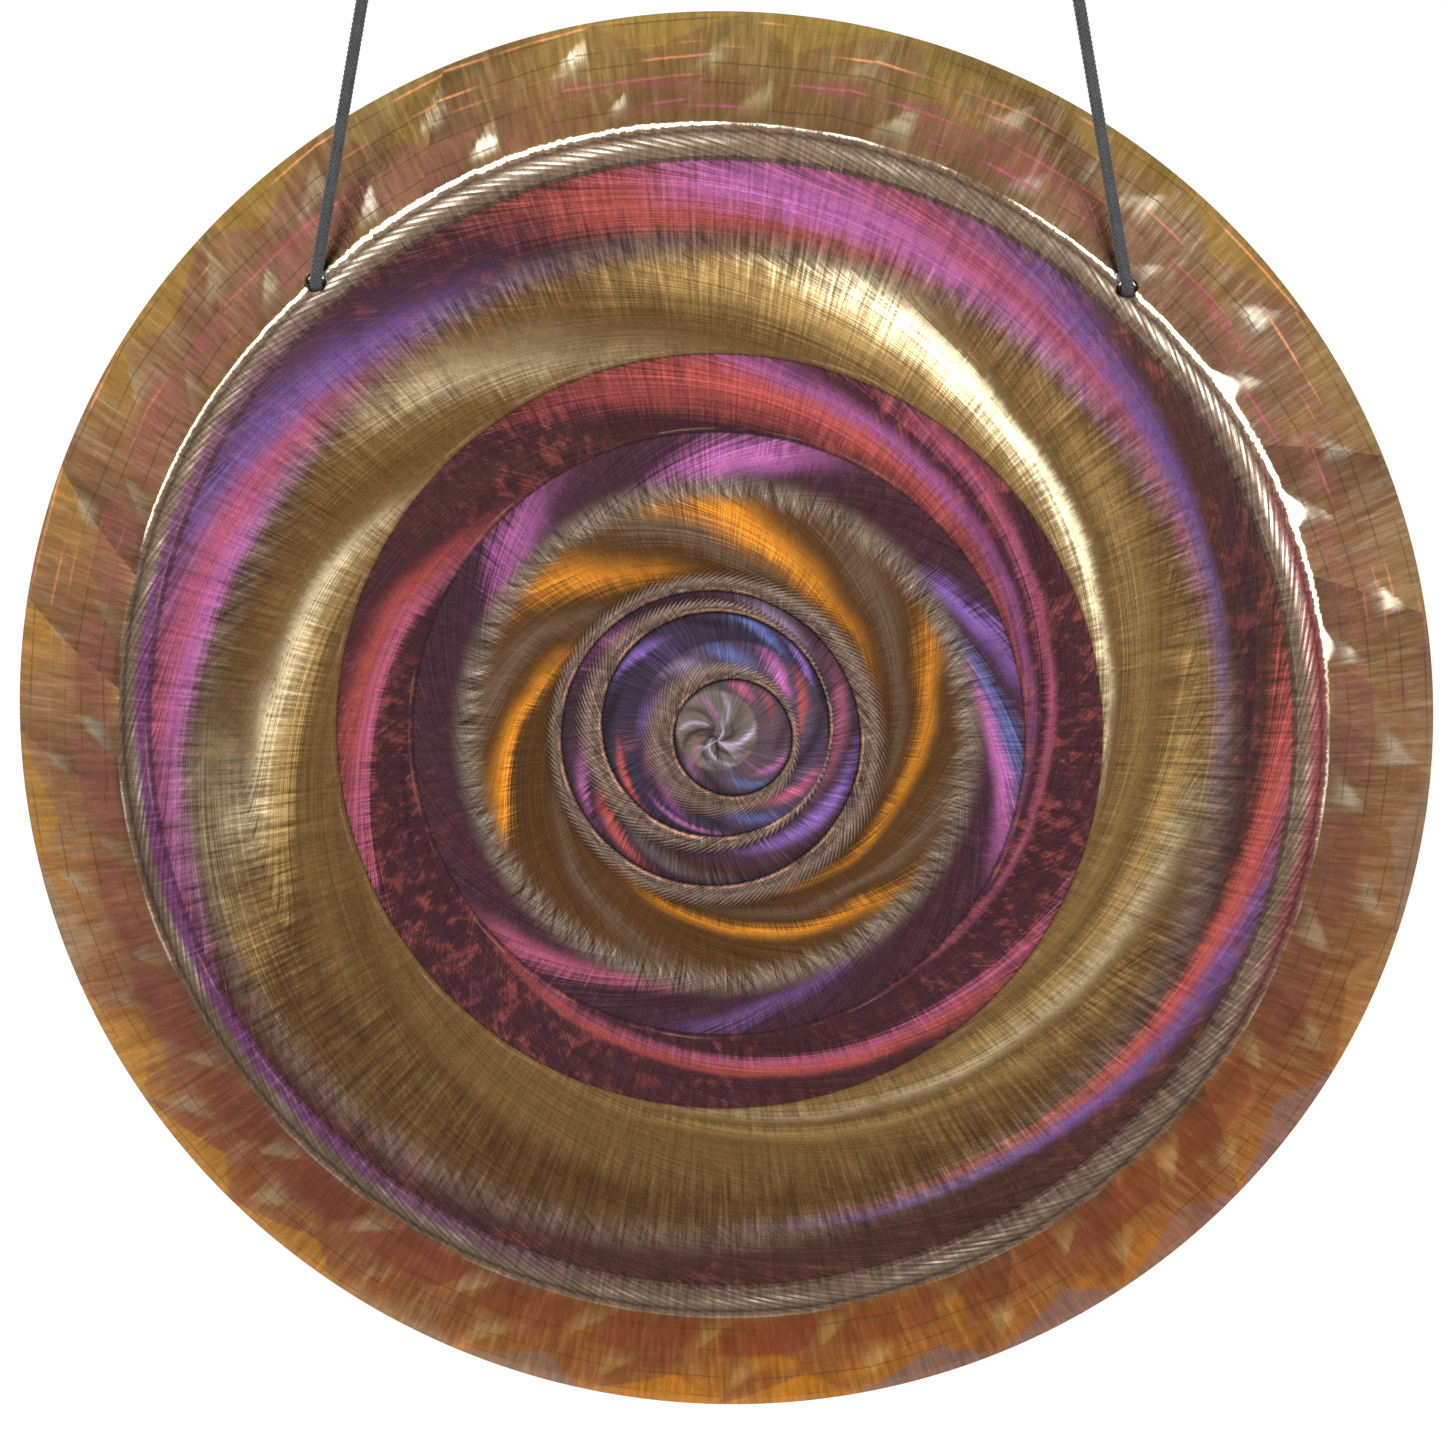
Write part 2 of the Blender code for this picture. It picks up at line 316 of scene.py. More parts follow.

# Zones from the outside in: outer and inner radius, how far the zone's bands
# turn from one to the other in degrees, how that turn gathers towards the inner
# edge, how soft and ragged the inner edge is in metres, the ground tint, how
# much coral speckles it, and the bands as (angle at the outer radius, half
# width in degrees, tint, strength). The bands are partly oxide tint and partly
# painted reflection of the room.
ZONES = [
    (
        (0.2450, 0.2065, 74.0, 1.5, 0.0045, UMBER, 0.5),
        [
            (-2, 15, MAGENTA, 0.9), (16, 10, PINK, 0.8), (32, 9, VIOLET, 0.55),
            (62, 10, PLUM, 0.8), (92, 14, CORAL, 0.95), (112, 11, VIOLET, 0.6),
            (206, 14, PLUM, 0.6), (254, 12, MAGENTA, 0.9), (272, 12, PINK, 0.85),
            (298, 14, VIOLET, 0.6), (322, 12, PLUM, 0.9), (340, 10, CORAL, 0.75),
        ],
    ),
    (
        (0.2065, 0.1637, 64.0, 1.5, 0.0003, BRASS, 0.0),
        [
            (2, 15, GOLD, 0.85), (21, 6, PALE_GOLD_HIGHLIGHT, 0.9), (48, 12, GOLD, 0.35),
            (84, 12, GOLD, 0.6), (100, 9, PALE_GOLD_HIGHLIGHT, 0.3), (124, 10, GOLD, 0.4),
            (200, 14, BROWN, 0.7), (248, 10, GOLD, 0.8), (262, 10, PALE_GOLD_HIGHLIGHT, 0.5),
            (284, 10, BROWN, 0.5), (314, 11, PALE_GOLD_HIGHLIGHT, 0.3), (336, 12, BROWN, 0.4),
        ],
    ),
    (
        (0.1637, 0.1307, 78.0, 1.4, 0.0006, MAROON, 0.9),
        [
            (-6, 13, CORAL, 0.95), (9, 8, MAGENTA, 0.7), (38, 9, PINK, 0.75),
            (118, 12, PINK, 0.8), (134, 12, CORAL, 0.8), (206, 12, PLUM, 0.6),
            (254, 11, PINK, 1.0), (268, 8, CORAL, 0.7), (302, 12, UMBER, 0.9),
            (334, 8, CORAL, 0.5),
        ],
    ),
    (
        (0.1307, 0.1060, -32.0, 1.2, 0.0036, PLUM, 0.15),
        [
            (14, 13, MAGENTA, 1.0), (44, 14, MAROON, 0.8), (72, 8, VIOLET, 0.9),
            (94, 7, BLUE, 0.8), (107, 9, MAGENTA, 1.0), (146, 22, MAROON, 0.9),
            (186, 9, VIOLET, 0.35), (226, 13, PINK, 0.85), (262, 18, MAROON, 0.8),
            (322, 12, MAGENTA, 0.75), (344, 8, PLUM, 0.8),
        ],
    ),
    (
        (0.1060, 0.0690, 74.0, 1.5, 0.0006, BROWN, 0.0),
        [
            (-4, 13, ORANGE, 1.0), (30, 8, FUR, 0.6), (62, 12, ORANGE, 0.75),
            (100, 10, FUR, 0.5), (128, 13, ORANGE, 0.85), (186, 14, FUR, 0.5),
            (248, 11, ORANGE, 1.0), (276, 9, FUR, 0.6), (306, 12, ORANGE, 0.85),
            (334, 9, FUR, 0.6),
        ],
    ),
    ((0.0700, 0.0, 20.0, 1.0, 0.0, BROWN, 0.0), [(90, 60, TAUPE, 0.5)]),
]

# The nested rings about the hub, from the outside in. Each lies a little off the
# gong's axis: its centre (x, z) and radius; the furry collar outside its edge as
# (width, how much wider it gets, at which angle in degrees); how far its bands
# turn; how dark the painted shade in its groove and the painted shadow inside its
# edge are; its ground tint; and its bands as above, partly oxide tint and partly
# painted reflection.
INNER_RINGS = [
    (
        (-0.0030, -0.0008, 0.0637, (0.0080, 0.30, 100), 44.0, 0.85, srgb("5b4350")),
        [
            (20, 10, LILAC, 0.4), (60, 14, PINK, 0.45), (100, 20, VIOLET, 0.95),
            (148, 20, UMBER, 0.9), (178, 12, TAUPE, 0.7), (206, 15, CORAL, 0.9),
            (234, 11, MAGENTA, 0.7), (272, 14, UMBER, 0.5), (308, 17, MAGENTA, 0.85),
            (342, 14, PAINTED_SHADE, 0.7),
        ],
    ),
    (
        (-0.0009, 0.0054, 0.0484, (0.0058, 0.75, 262), 40.0, 0.9, srgb("4a3f50")),
        [
            (12, 13, BLUE, 0.9), (44, 11, VIOLET, 1.0), (70, 10, PAINTED_SHADE, 0.6),
            (104, 16, PAINTED_SHADE, 0.5), (140, 15, VIOLET, 0.85), (176, 11, MAGENTA, 0.7),
            (220, 15, CORAL, 0.85), (262, 18, PAINTED_SHADE, 0.6), (298, 12, VIOLET, 0.95),
            (344, 12, PAINTED_SHADE, 0.6),
        ],
    ),
    (
        (0.0058, 0.0005, 0.0412, None, 46.0, 0.55, srgb("68566a")),
        [
            (-12, 14, BLUE, 0.8), (22, 12, MAGENTA, 0.95), (44, 9, CORAL, 0.7),
            (74, 14, PAINTED_SHADE, 0.7), (112, 14, PINK, 0.95), (150, 13, BLUE, 0.8),
            (180, 11, PAINTED_SHADE, 0.7), (216, 12, MAGENTA, 0.95), (244, 10, PINK, 0.5),
            (274, 16, VIOLET, 0.75), (318, 14, LILAC, 0.6),
        ],
    ),
    (
        (0.0066, 0.0000, 0.0251, (0.0080, 0.62, 258), 30.0, 0.95, srgb("6d5a64")),
        [
            (0, 13, PINK, 0.85), (36, 12, CORAL, 0.35), (70, 16, PLUM, 0.8),
            (108, 12, MAGENTA, 0.8), (142, 12, BLUE, 0.75), (184, 16, PAINTED_SHADE, 0.6),
            (222, 12, MAGENTA, 0.5), (270, 22, PAINTED_SHADE, 0.6), (326, 14, TAUPE, 0.9),
        ],
    ),
    (
        (-0.0004, 0.0030, 0.0172, None, 80.0, 0.0, srgb("8b8074")),
        [
            (8, 10, LILAC, 0.6), (34, 12, UMBER, 0.4), (84, 10, LILAC, 0.9),
            (112, 10, UMBER, 0.9), (150, 10, LILAC, 0.8), (176, 10, NIGHT, 0.9),
            (206, 10, CORAL, 0.4), (238, 10, UMBER, 0.9), (268, 9, LILAC, 0.7),
            (302, 10, UMBER, 0.8), (332, 9, MAGENTA, 0.6),
        ],
    ),
]
# The nested rings all lie within this radius.
INNER_RADIUS = 0.073
# Inside this radius the hairlines are further apart, in angle.
HAIR_CHANGE = 0.0655
# Teeth of the collars: their pitch, and how far they lean with the sweep.
TOOTH = 0.0026
TOOTH_LEAN = 1.7
FUR_SHADOW = srgb("4e3931")
FUR_LIGHT = srgb("c6ab97")

# The bands turn further round one side of the gong than the other.
LEAN_ANGLE = math.radians(165)
LEAN = 0.42

# Turned creases: radius, half width and how dark the groove's painted shade is.
CREASES = [(0.2450, 0.0009, 0.45), (0.1637, 0.0009, 0.60), (0.1307, 0.0007, 0.60)]

# Hammer flats round the rim: how many to a row, and each row's radius, half
# width and offset in flats. The flats lean by so many radians to the metre, and
# the hammer's steps are longer on one side.
FLATS = 30
FLAT_LEAN = 2.4
FLAT_ROWS = [(0.2890, 0.0120, 0.5), (0.2710, 0.0090, 0.0)]
FLAT_START = math.radians(40.9)
STEP_DRIFT = 0.107
STEP_DRIFT_ANGLE = math.radians(240)
# The rope-like strip: ridges to a turn, and their lean in radians to the metre.
ROPE_RIDGES = 226.0
ROPE_TWIST = 2670.0
# Fine grooves round the rim that sag from flat to flat, drawn as painted shade with a painted
# highlight on their lips.
RIM_LINES = [0.3012, 0.2912, 0.2852, 0.2776, 0.2672]
CREST_RADIUS = 0.2600
# Where the shoulder's painted highlight is brightest, beside the two cord holes.
GLARES = [(math.radians(64), 0.50), (math.radians(335), 0.50)]


def blended(first, second, share):
    return tuple(a + (b - a) * share for a, b in zip(first, second))


# Two bands closer than this, in degrees, share one stop of ground tint.
NARROW_GAP = 14


def ring_stops(ground, bands):
    """Ramp stops once round a zone, and the angle in degrees where they start.

    The start is in the middle of the widest gap between bands, so the ramp's
    two ends meet in the ground tint.
    """
    bands = sorted((angle % 360, half, tint, strength) for angle, half, tint, strength in bands)
    gaps = []
    for i, (angle, half, _, _) in enumerate(bands):
        following = bands[(i + 1) % len(bands)]
        reach = (following[0] - angle) % 360
        gaps.append((reach - half - following[1], angle + half))
    gap, edge = max(gaps)
    start = (edge + gap / 2) % 360
    shifted = sorted(((a - start) % 360, h, t, s) for a, h, t, s in bands)
    stops = [(0.0, ground)]
    for i, (angle, half, tint, strength) in enumerate(shifted):
        before = shifted[i - 1][0] + shifted[i - 1][1] if i else 0.0
        free = angle - half - before
        if free > NARROW_GAP:
            stops.append(((angle - half) / 360, ground))
        elif free > 0:
            stops.append(((angle - half - free / 2) / 360, ground))
        stops.append((angle / 360, blended(ground, tint, strength)))
        after = shifted[i + 1][0] - shifted[i + 1][1] if i + 1 < len(shifted) else 360
        if after - angle - half > NARROW_GAP:
            stops.append(((angle + half) / 360, ground))
    stops.append((1.0, ground))
    return stops, start


class Rings:
    """The gong's ring layout as node expressions, shared by all its finishes."""

    def __init__(self, g):
        self.g = g
        self.x, self.y, self.z, self.place = g.place()
        self.angle, self.radius = self.polar(0.0, 0.0)
        safe = g.math("MAXIMUM", self.radius, 0.0005)
        self.east, self.north = self.x / safe, self.z / safe
        self.lean = g.math("COSINE", self.angle - LEAN_ANGLE) * LEAN + 1.0
        turn = None
        for (outer, inner, degrees, power, *_), _ in ZONES:
            share = g.clamp((outer - self.radius) / (outer - inner))
            part = share**power * math.radians(degrees)
            turn = part if turn is None else turn + part
        self.swept = self.angle - turn
        self.spread = 1.0 - g.math("LESS_THAN", self.radius, HAIR_CHANGE) * 0.55
        self.degrees = g.math("FRACT", self.angle / FULL_TURN + 1.0) * 360.0
        self.radial = self.hair(self.angle, 120.0, 34.0)
        self.fine = self.hair(self.swept, 110.0, 60.0)
        self.crossed = self.hair(self.angle + self.radius * 6.0, 115.0, 60.0)
        self.counter = self.hair(self.angle - self.radius * 4.5, 120.0, 60.0)
        self.comb = self.hair(self.swept, 34.0, 22.0)
        self.spun = g.noise(
            g.vector(self.east * 3.0, self.north * 3.0, self.radius * 1100.0),
            detail=3.0,
        )
        self.mottle = g.noise(self.place, scale=75.0, detail=4.0, roughness=0.6)
        self.drift = g.noise(
            g.vector(self.east * 5.0, self.north * 5.0, self.radius * 60.0), detail=3.0
        )

    def polar(self, x, z):
        """Angle and distance from a point of the face."""
        g = self.g
        east, north = self.x - x, self.z - z
        radius = g.math("SQRT", east * east + north * north)
        return g.math("ARCTAN2", east, north), radius

    def hair(self, angle, across, along):
        """Hairlines that follow lines of constant angle, -1 to 1 about 0."""
        g = self.g
        across = self.spread * across
        raw = g.noise(
            g.vector(
                g.math("SINE", angle) * across,
                g.math("COSINE", angle) * across,
                self.radius * along,
            ),
            detail=4.0,
            roughness=0.72,
        )
        return (raw - 0.5) * 3.6

    def near(self, angle, half_width):
        """1 at an angle of 0 to a full turn, falling to 0 a half width away."""
        apart = self.g.math("COSINE", self.angle - angle)
        return self.g.step(apart, math.cos(half_width), 1.0)


def grouped(build, rings, *colours):
    """The colour that build gives, worked out in a node group of its own."""
    graph = Graph(build.__name__, group=True)
    entry = graph.node("NodeGroupInput")
    inside = copy.copy(rings)
    inside.g = graph
    feeds = list(colours)
    for colour in colours:
        graph.tree.interface.new_socket("colour", in_out="INPUT", socket_type="NodeSocketColor")
    for key, value in vars(rings).items():
        if isinstance(value, Value):
            graph.tree.interface.new_socket(key, in_out="INPUT", socket_type="NodeSocketFloat")
            setattr(inside, key, Value(graph, entry.outputs[len(feeds)]))
        elif key == "place":
            graph.tree.interface.new_socket(key, in_out="INPUT", socket_type="NodeSocketVector")
            setattr(inside, key, entry.outputs[len(feeds)])
        else:
            continue
        feeds.append(value)
    graph.tree.interface.new_socket("colour", in_out="OUTPUT", socket_type="NodeSocketColor")
    leave = graph.node("NodeGroupOutput")
    result = build(inside, *[entry.outputs[i] for i in range(len(colours))])
    graph.tree.links.new(result, leave.inputs[0])
    node = rings.g.node("ShaderNodeGroup")
    node.node_tree = graph.tree
    for value, socket in zip(feeds, node.inputs):
        rings.g.link(value, socket)
    return node.outputs[0]


def face_colour(rings):
    """The zones of bands, partly oxide tint and partly painted reflection, from the hub outwards.
    """
    g = rings.g
    colour = None
    wander = g.noise(g.vector(rings.east * 1.7, rings.north * 1.7, rings.radius * 24.0))
    feather = rings.fine * 0.10 + rings.radial * 0.09 + rings.comb * 0.05
    patches = g.noise(g.vector(rings.east * 1.6, rings.north * 1.6 + 4.0, 0.0))
    blotch = g.noise(
        g.vector(rings.east * 26.0, rings.north * 26.0, rings.radius * 130.0),
        detail=3.0,
        roughness=0.6,
    )
    speckle = g.step(blotch + rings.crossed * 0.12, 0.48, 0.72)
    speckle = speckle * g.step(patches, 0.40, 0.58)
    # The gold reaches further out towards one side, and ends there abruptly.
    early = g.step(rings.degrees, 150.0, 250.0) * g.step(rings.degrees, 292.0, 256.0)
    reach = early * 0.020 + rings.lean * 0.010 - 0.0040
    for i, ((outer, inner, degrees, power, edge, ground, coral), bands) in reversed(
        list(enumerate(ZONES))
    ):
        stops, start = ring_stops(ground, bands)
        share = g.clamp((outer - rings.radius) / (outer - inner))
        bent = rings.angle - share**power * rings.lean * math.radians(degrees)
        bent = bent + (wander - 0.5) * 0.5 + feather
        ring = g.ramp(g.math("FRACT", bent / FULL_TURN + (2 - start / 360)), stops)
        # Painted light across the zone's rounded relief: darker at its edges, brightest inside.
        painted_relief_light = g.math("SINE", share * math.pi * 0.80 + 0.42)
        strength = (
            painted_relief_light * 0.95
            + (rings.mottle - 0.5) * 0.9
            + rings.fine * 0.34
            + rings.radial * 0.22
            + rings.comb * 0.22
            + 0.04
        )
        base = ground
        # Painted shade: the gold's ground darkens towards its outer edge.
        if ground == BRASS:
            base = g.mix(share, srgb("5f422b"), srgb("8c6a40"))
        ring = g.mix(g.clamp(strength), base, ring)
        if coral:
            ring = g.mix(speckle * coral * 0.6, ring, srgb("c8665e"))
        if colour is None:
            colour = ring
            continue
        jagged = rings.radius + (rings.radial * 0.45 + rings.comb * 0.55) * edge
        if i == 0:
            jagged = jagged - reach
        colour = g.mix(
            g.step(jagged, inner - edge - 0.0003, inner + edge + 0.0003), colour, ring
        )
    # Worn taupe fur where the purple meets the brown, and the violet the gold.
    tufts = rings.hair(rings.angle + rings.radius * 5.0, 46.0, 8.0)
    furs = ((0.1075, 0.0085, 0.9, 0.0), (0.2090, 0.0110, 0.40, reach))
    for radius, width, strength, shift in furs:
        away = rings.radius - shift + tufts * 0.0022 + rings.radial * 0.0018
        shade = g.clamp(tufts * 0.5 + rings.radial * 0.5 + 0.42)
        fur = g.mix(shade, srgb("4a3a2e"), srgb("c2ad94"))
        colour = g.mix(g.bump_at(away, radius, width) * strength, colour, fur)
    return colour


def inner_colour(rings, colour):
    """The nested, off-centre rings about the hub, drawn over one another."""
    g = rings.g
    for i, ((x, z, outer, collar, degrees, depth, ground), bands) in enumerate(INNER_RINGS):
        angle, radius = rings.polar(x, z)
        inner = INNER_RINGS[i + 1][0][2] if i + 1 < len(INNER_RINGS) else 0.0
        leaning = angle - radius * (TOOTH_LEAN / outer)
        strokes = rings.hair(leaning, 95.0, 16.0)
        if collar:
            width, swing, where = collar
            wider = g.math("COSINE", angle - math.radians(where)) * swing + 1.0
            teeth = round(FULL_TURN * (outer + width) / TOOTH)
            tooth = g.math("FRACT", leaning * (teeth / FULL_TURN) + 100.0)
            reach = (radius - outer) / (wider * width)
            edge = reach + tooth * 0.55 + strokes * 0.18 + rings.fine * 0.10
            tone = g.clamp(reach * 0.50 + tooth * 0.40 + strokes * 0.6 + rings.fine * 0.05 - 0.08)
            fur = g.mix(tone, FUR_SHADOW, FUR_LIGHT)
            # Painted shade in a fold of the collar.
            fold = g.bump_at(reach + strokes * 0.03, 0.42, 0.13)
            fur = g.mix(fold * g.step(rings.drift, 0.40, 0.64) * 0.4, fur, PAINTED_SHADE)
            # Painted shade just outside the collar's teeth.
            colour = g.mix(g.step(edge, 1.75, 1.15) * 0.6, colour, PAINTED_SHADE)
            colour = g.mix(g.step(edge, 1.22, 1.10), colour, fur)
            # Painted highlight on the lip just outside the ring's edge.
            lip = g.bump_at(radius + strokes * 0.0002, outer + 0.0013, 0.0008)
            colour = g.mix(lip * g.step(rings.drift, 0.42, 0.60) * 0.6, colour, LIP_HIGHLIGHT)
        stops, start = ring_stops(ground, bands)
        share = g.clamp((outer - radius) / (outer - inner))
        bent = angle - share * rings.lean * math.radians(degrees)
        bent = bent + rings.fine * 0.10 + rings.crossed * 0.08 + strokes * 0.05
        ring = g.ramp(g.math("FRACT", bent / FULL_TURN + (2 - start / 360)), stops)
        # Painted light across the ring's rounded relief, brightest inside its edges.
        painted_relief_light = g.math("SINE", share * math.pi * 0.85 + 0.35)
        strength = g.clamp(painted_relief_light * 1.1 + rings.fine * 0.35 + rings.crossed * 0.25)
        ring = g.mix(strength, ground, ring)
        shadow = g.step(share, 0.34, 0.0) * depth
        ring = g.mix(shadow * 0.7, ring, srgb("2e262c"))
        edge = radius + strokes * (0.0001 if depth > 0.8 else 0.0012)
        blur = 0.0002 if depth > 0.8 else 0.0006
        colour = g.mix(g.step(edge, outer + blur, outer - blur), colour, ring)
        # Painted shade in the groove at the ring's edge.
        groove = g.bump_at(radius, outer, 0.0007) * (depth if depth > 0.8 else 0.0)
        colour = g.mix(groove, colour, srgb("1e1718"))
    # The eye of the swirl: a few sharp folds that run into the centre, drawn with painted
    # highlights in lilac and painted shade between them.
    angle, radius = rings.polar(0.0004, -0.0012)
    wobble = g.noise(rings.place, scale=110.0, detail=2.0)
    fold = g.math("SINE", (angle + radius * 60.0) * 3.0 + (wobble - 0.5) * 7.0)
    near = g.step(radius, 0.0150, 0.0020)
    colour = g.mix(g.step(fold, 0.75, 1.0) * near * 0.8, colour, LILAC)
    return g.mix(g.step(fold, -0.55, -1.0) * near * 0.8, colour, srgb("3a2c2c"))


def strip_colour(rings):
    """The rope-like turned strip between the face and the shoulder."""
    g = rings.g
    ridge = g.math("SINE", rings.angle * ROPE_RIDGES + rings.radius * ROPE_TWIST)
    grain = rings.hair(rings.angle + rings.radius * 11.8, 110.0, 20.0)
    inner_half = g.step(rings.radius, 0.2535, 0.2500)
    # Reddish and violet patches of painted reflection.
    reddish = rings.near(math.radians(92), 0.6) * (1.0 - inner_half)
    violet = rings.near(math.radians(255), 1.25) * inner_half
    strip = g.mix(reddish * 0.75, srgb("85705c"), srgb("9a4650"))
    strip = g.mix(violet * 0.9, strip, srgb("8a4f7f"))
    # A painted highlight along the strip, brightest at the glares.
    lit = g.bump_at(rings.radius + (rings.drift - 0.5) * 0.006, 0.2528, 0.0030)
    glare = sum_of_glares(rings)
    patchy = g.step(rings.drift, 0.42, 0.62) * 0.30
    strength = lit * (glare * 0.6 + patchy) * g.clamp(ridge * 0.35 + grain * 0.7 + 0.55)
    strip = g.mix(strength, strip, CREAM_HIGHLIGHT)
    # Painted light and shade across the rope's ridges and the grain's streaks.
    tone = g.math("MAXIMUM", ridge * 0.13 + grain * 0.45 + 0.88, 0.25)
    strip = g.mix(1.0, strip, g.vector(tone, tone, tone), blend="MULTIPLY")
    # Painted shade in the crease at the strip's inner edge.
    edge = g.bump_at(rings.radius + ridge * 0.0004, 0.2462, 0.0012)
    return g.mix(edge * 0.6, strip, srgb("4a3036"))


def sum_of_glares(rings):
    total = 0.0
    for angle, half_width in GLARES:
        total = rings.near(angle, half_width) + total
    return total


def flat_cell(rings, offset):
    """Place in a row of flats, which leans a little, measured in flats."""
    g = rings.g
    angle = rings.angle - (rings.radius - FLAT_ROWS[0][0]) * FLAT_LEAN
    drift = g.math("SINE", angle - STEP_DRIFT_ANGLE) * STEP_DRIFT
    return (angle + drift - FLAT_START) * (FLATS / FULL_TURN) + (offset + 200.0)


def rim_colour(rings):
    """Two rows of hammer flats, their pale flames, and fine grooves."""
    g = rings.g
    around = rings.degrees / 360.0

    def round_the_rim(tints):
        tints = [srgb(tint) for tint in tints.split()]
        stops = [(i / len(tints), tint) for i, tint in enumerate(tints + tints[:1])]
        return g.ramp(around, stops)

    # Tints at every eighth of a turn from the top. They stand partly for painted reflection of
    # the room: golder at the top and redder brown at the bottom.
    ground = round_the_rim("967340 9c7650 966b42 99592e a0602c 985c3c a8784c 966c4c")
    flame = round_the_rim("b5a878 d9d2bc b3aa92 c29c60 c09650 b39a78 a8a48c b9a985")
    vivid = round_the_rim("b0904a ae8a44 b08c64 c88030 d2841c c48a34 bc8a40 b08a40")
    fringe = round_the_rim("a88c48 a88646 a8866a 94706a 86706c a87c44 a89078 a88a58")
    panel = round_the_rim("84603f 8f6450 84564a 8a4a30 8c432a 804838 a46858 a06c5c")
    glare = sum_of_glares(rings)

    streak = g.clamp(rings.radial * 0.8 + rings.comb * 0.5 + 0.2)
    rim = g.mix(streak * 0.4, ground, flame)
    tide = g.noise(g.vector(rings.east * 6.0 + 7.0, rings.north * 6.0, rings.radius * 50.0))
    rim = g.mix(g.step(tide, 0.40, 0.25) * 0.7, rim, panel)
    rim = g.mix(g.step(tide, 0.55, 0.70) * 0.6, rim, vivid)

    flames = None
    for row, (row_radius, half_width, offset) in enumerate(FLAT_ROWS):
        cell = flat_cell(rings, offset + 0.5)
        place = g.math("FRACT", cell)
        apart = 0.5 - g.math("ABSOLUTE", place - 0.5)
        luck = g.random(g.math("FLOOR", cell) + row * 57.0)
        tip_luck = g.random(g.math("FLOOR", cell + 0.5) + (31.0 + row * 57.0))
        rise = (rings.radius - (row_radius - half_width)) / (2 * half_width)
        # Each flat gets painted light across one diagonal and painted shade across the other.
        slope = (place - 0.5) * (luck * 2.4 - 0.8) + (rise - 0.5) * 0.5
        if row == 0:
            rim = g.mix(g.clamp(slope) * 0.8, rim, vivid)
            rim = g.mix(g.clamp(0.0 - slope) * 0.8, rim, srgb("5f4432"))
            # Wedges of tint hang from the edge between the flames.
            hang = (rings.radius - 0.2900) / 0.0150
            wedge = g.step(apart + rings.radial * 0.03 + hang * 0.5, 0.46, 0.54)
            tint = g.mix(g.step(luck, 0.42, 0.40), fringe, vivid)
            rim = g.mix(wedge * g.step(luck, 0.80, 0.66) * 0.65, rim, tint)
        else:
            inside = g.step(apart, 0.08, 0.17) * g.bump_at(rise, 0.50, 0.85)
            ragged = g.step(inside + rings.radial * 0.12, 0.25, 0.55)
            rim = g.mix(ragged * (luck * 0.4 + 0.35), rim, panel)
        top = 0.86 + (tip_luck - 0.5) * 0.30
        narrow = (top - rise) * (0.25 if row == 0 else 0.19)
        narrow = g.math("MAXIMUM", narrow, 0.0) + rings.radial * 0.030
        shape = g.step(apart, narrow + 0.02, narrow * 0.35)
        tail = g.step(rise + rings.radial * 0.10, 0.10, 0.42) if row == 0 else 1.0
        part = shape * g.step(narrow, 0.0, 0.02) * tail * (tip_luck * 0.5 + 0.5)
        part = part * g.bump_at(rings.radius, row_radius, half_width * 1.25)
        flames = part if flames is None else flames + part
    # The pale flames between the flats, and painted glints of cream on them where the shoulder's
    # painted highlight is brightest.
    rim = g.mix(g.clamp(flames) * 0.65, rim, flame)
    lit = glare * g.step(rings.drift + rings.radial * 0.08, 0.46, 0.66) * 0.75
    rim = g.mix(g.clamp(flames) * lit, rim, CREAM_HIGHLIGHT)

    # Fine grooves that sag from flat to flat, drawn as painted shade, with a painted highlight on
    # the lip that is stronger on the upper half.
    cell = flat_cell(rings, 0.0)
    place = g.math("FRACT", cell) - 0.5
    sag = place * place * 0.0046 + g.random(g.math("FLOOR", cell)) * 0.0028
    upper = g.step(rings.north, -0.25, 0.65)
    glow = g.noise(g.vector(rings.east * 7.0, rings.north * 7.0 + 5.0, rings.radius * 160.0))
    wear_and_painted_light = g.step(glow + rings.radial * 0.03, 0.56, 0.42) * 0.40 + 0.05
    lip_tint = g.mix(g.step(rings.radius, 0.272, 0.284), PINK, srgb("f0a06a"))
    for groove in RIM_LINES:
        off = rings.radius - sag + 0.0018 + rings.radial * 0.0002 - groove
        rim = g.mix(g.bump_at(off, 0.0, 0.0006) * wear_and_painted_light, rim, srgb("422b22"))
        lip = g.bump_at(off, 0.0010, 0.0010)
        lit = g.step(glow, 0.50, 0.66) * (upper * 0.8 + 0.06)
        rim = g.mix(lip * lit, rim, lip_tint)
    # A pink blush about the middle of the rim, partly tint and partly painted reflection,
    # stronger on the upper half.
    blush = g.bump_at(rings.radius, 0.276, 0.018) * g.step(glow, 0.48, 0.70)
    return g.mix(blush * (upper * 0.55 + 0.15), rim, srgb("a5605c"))


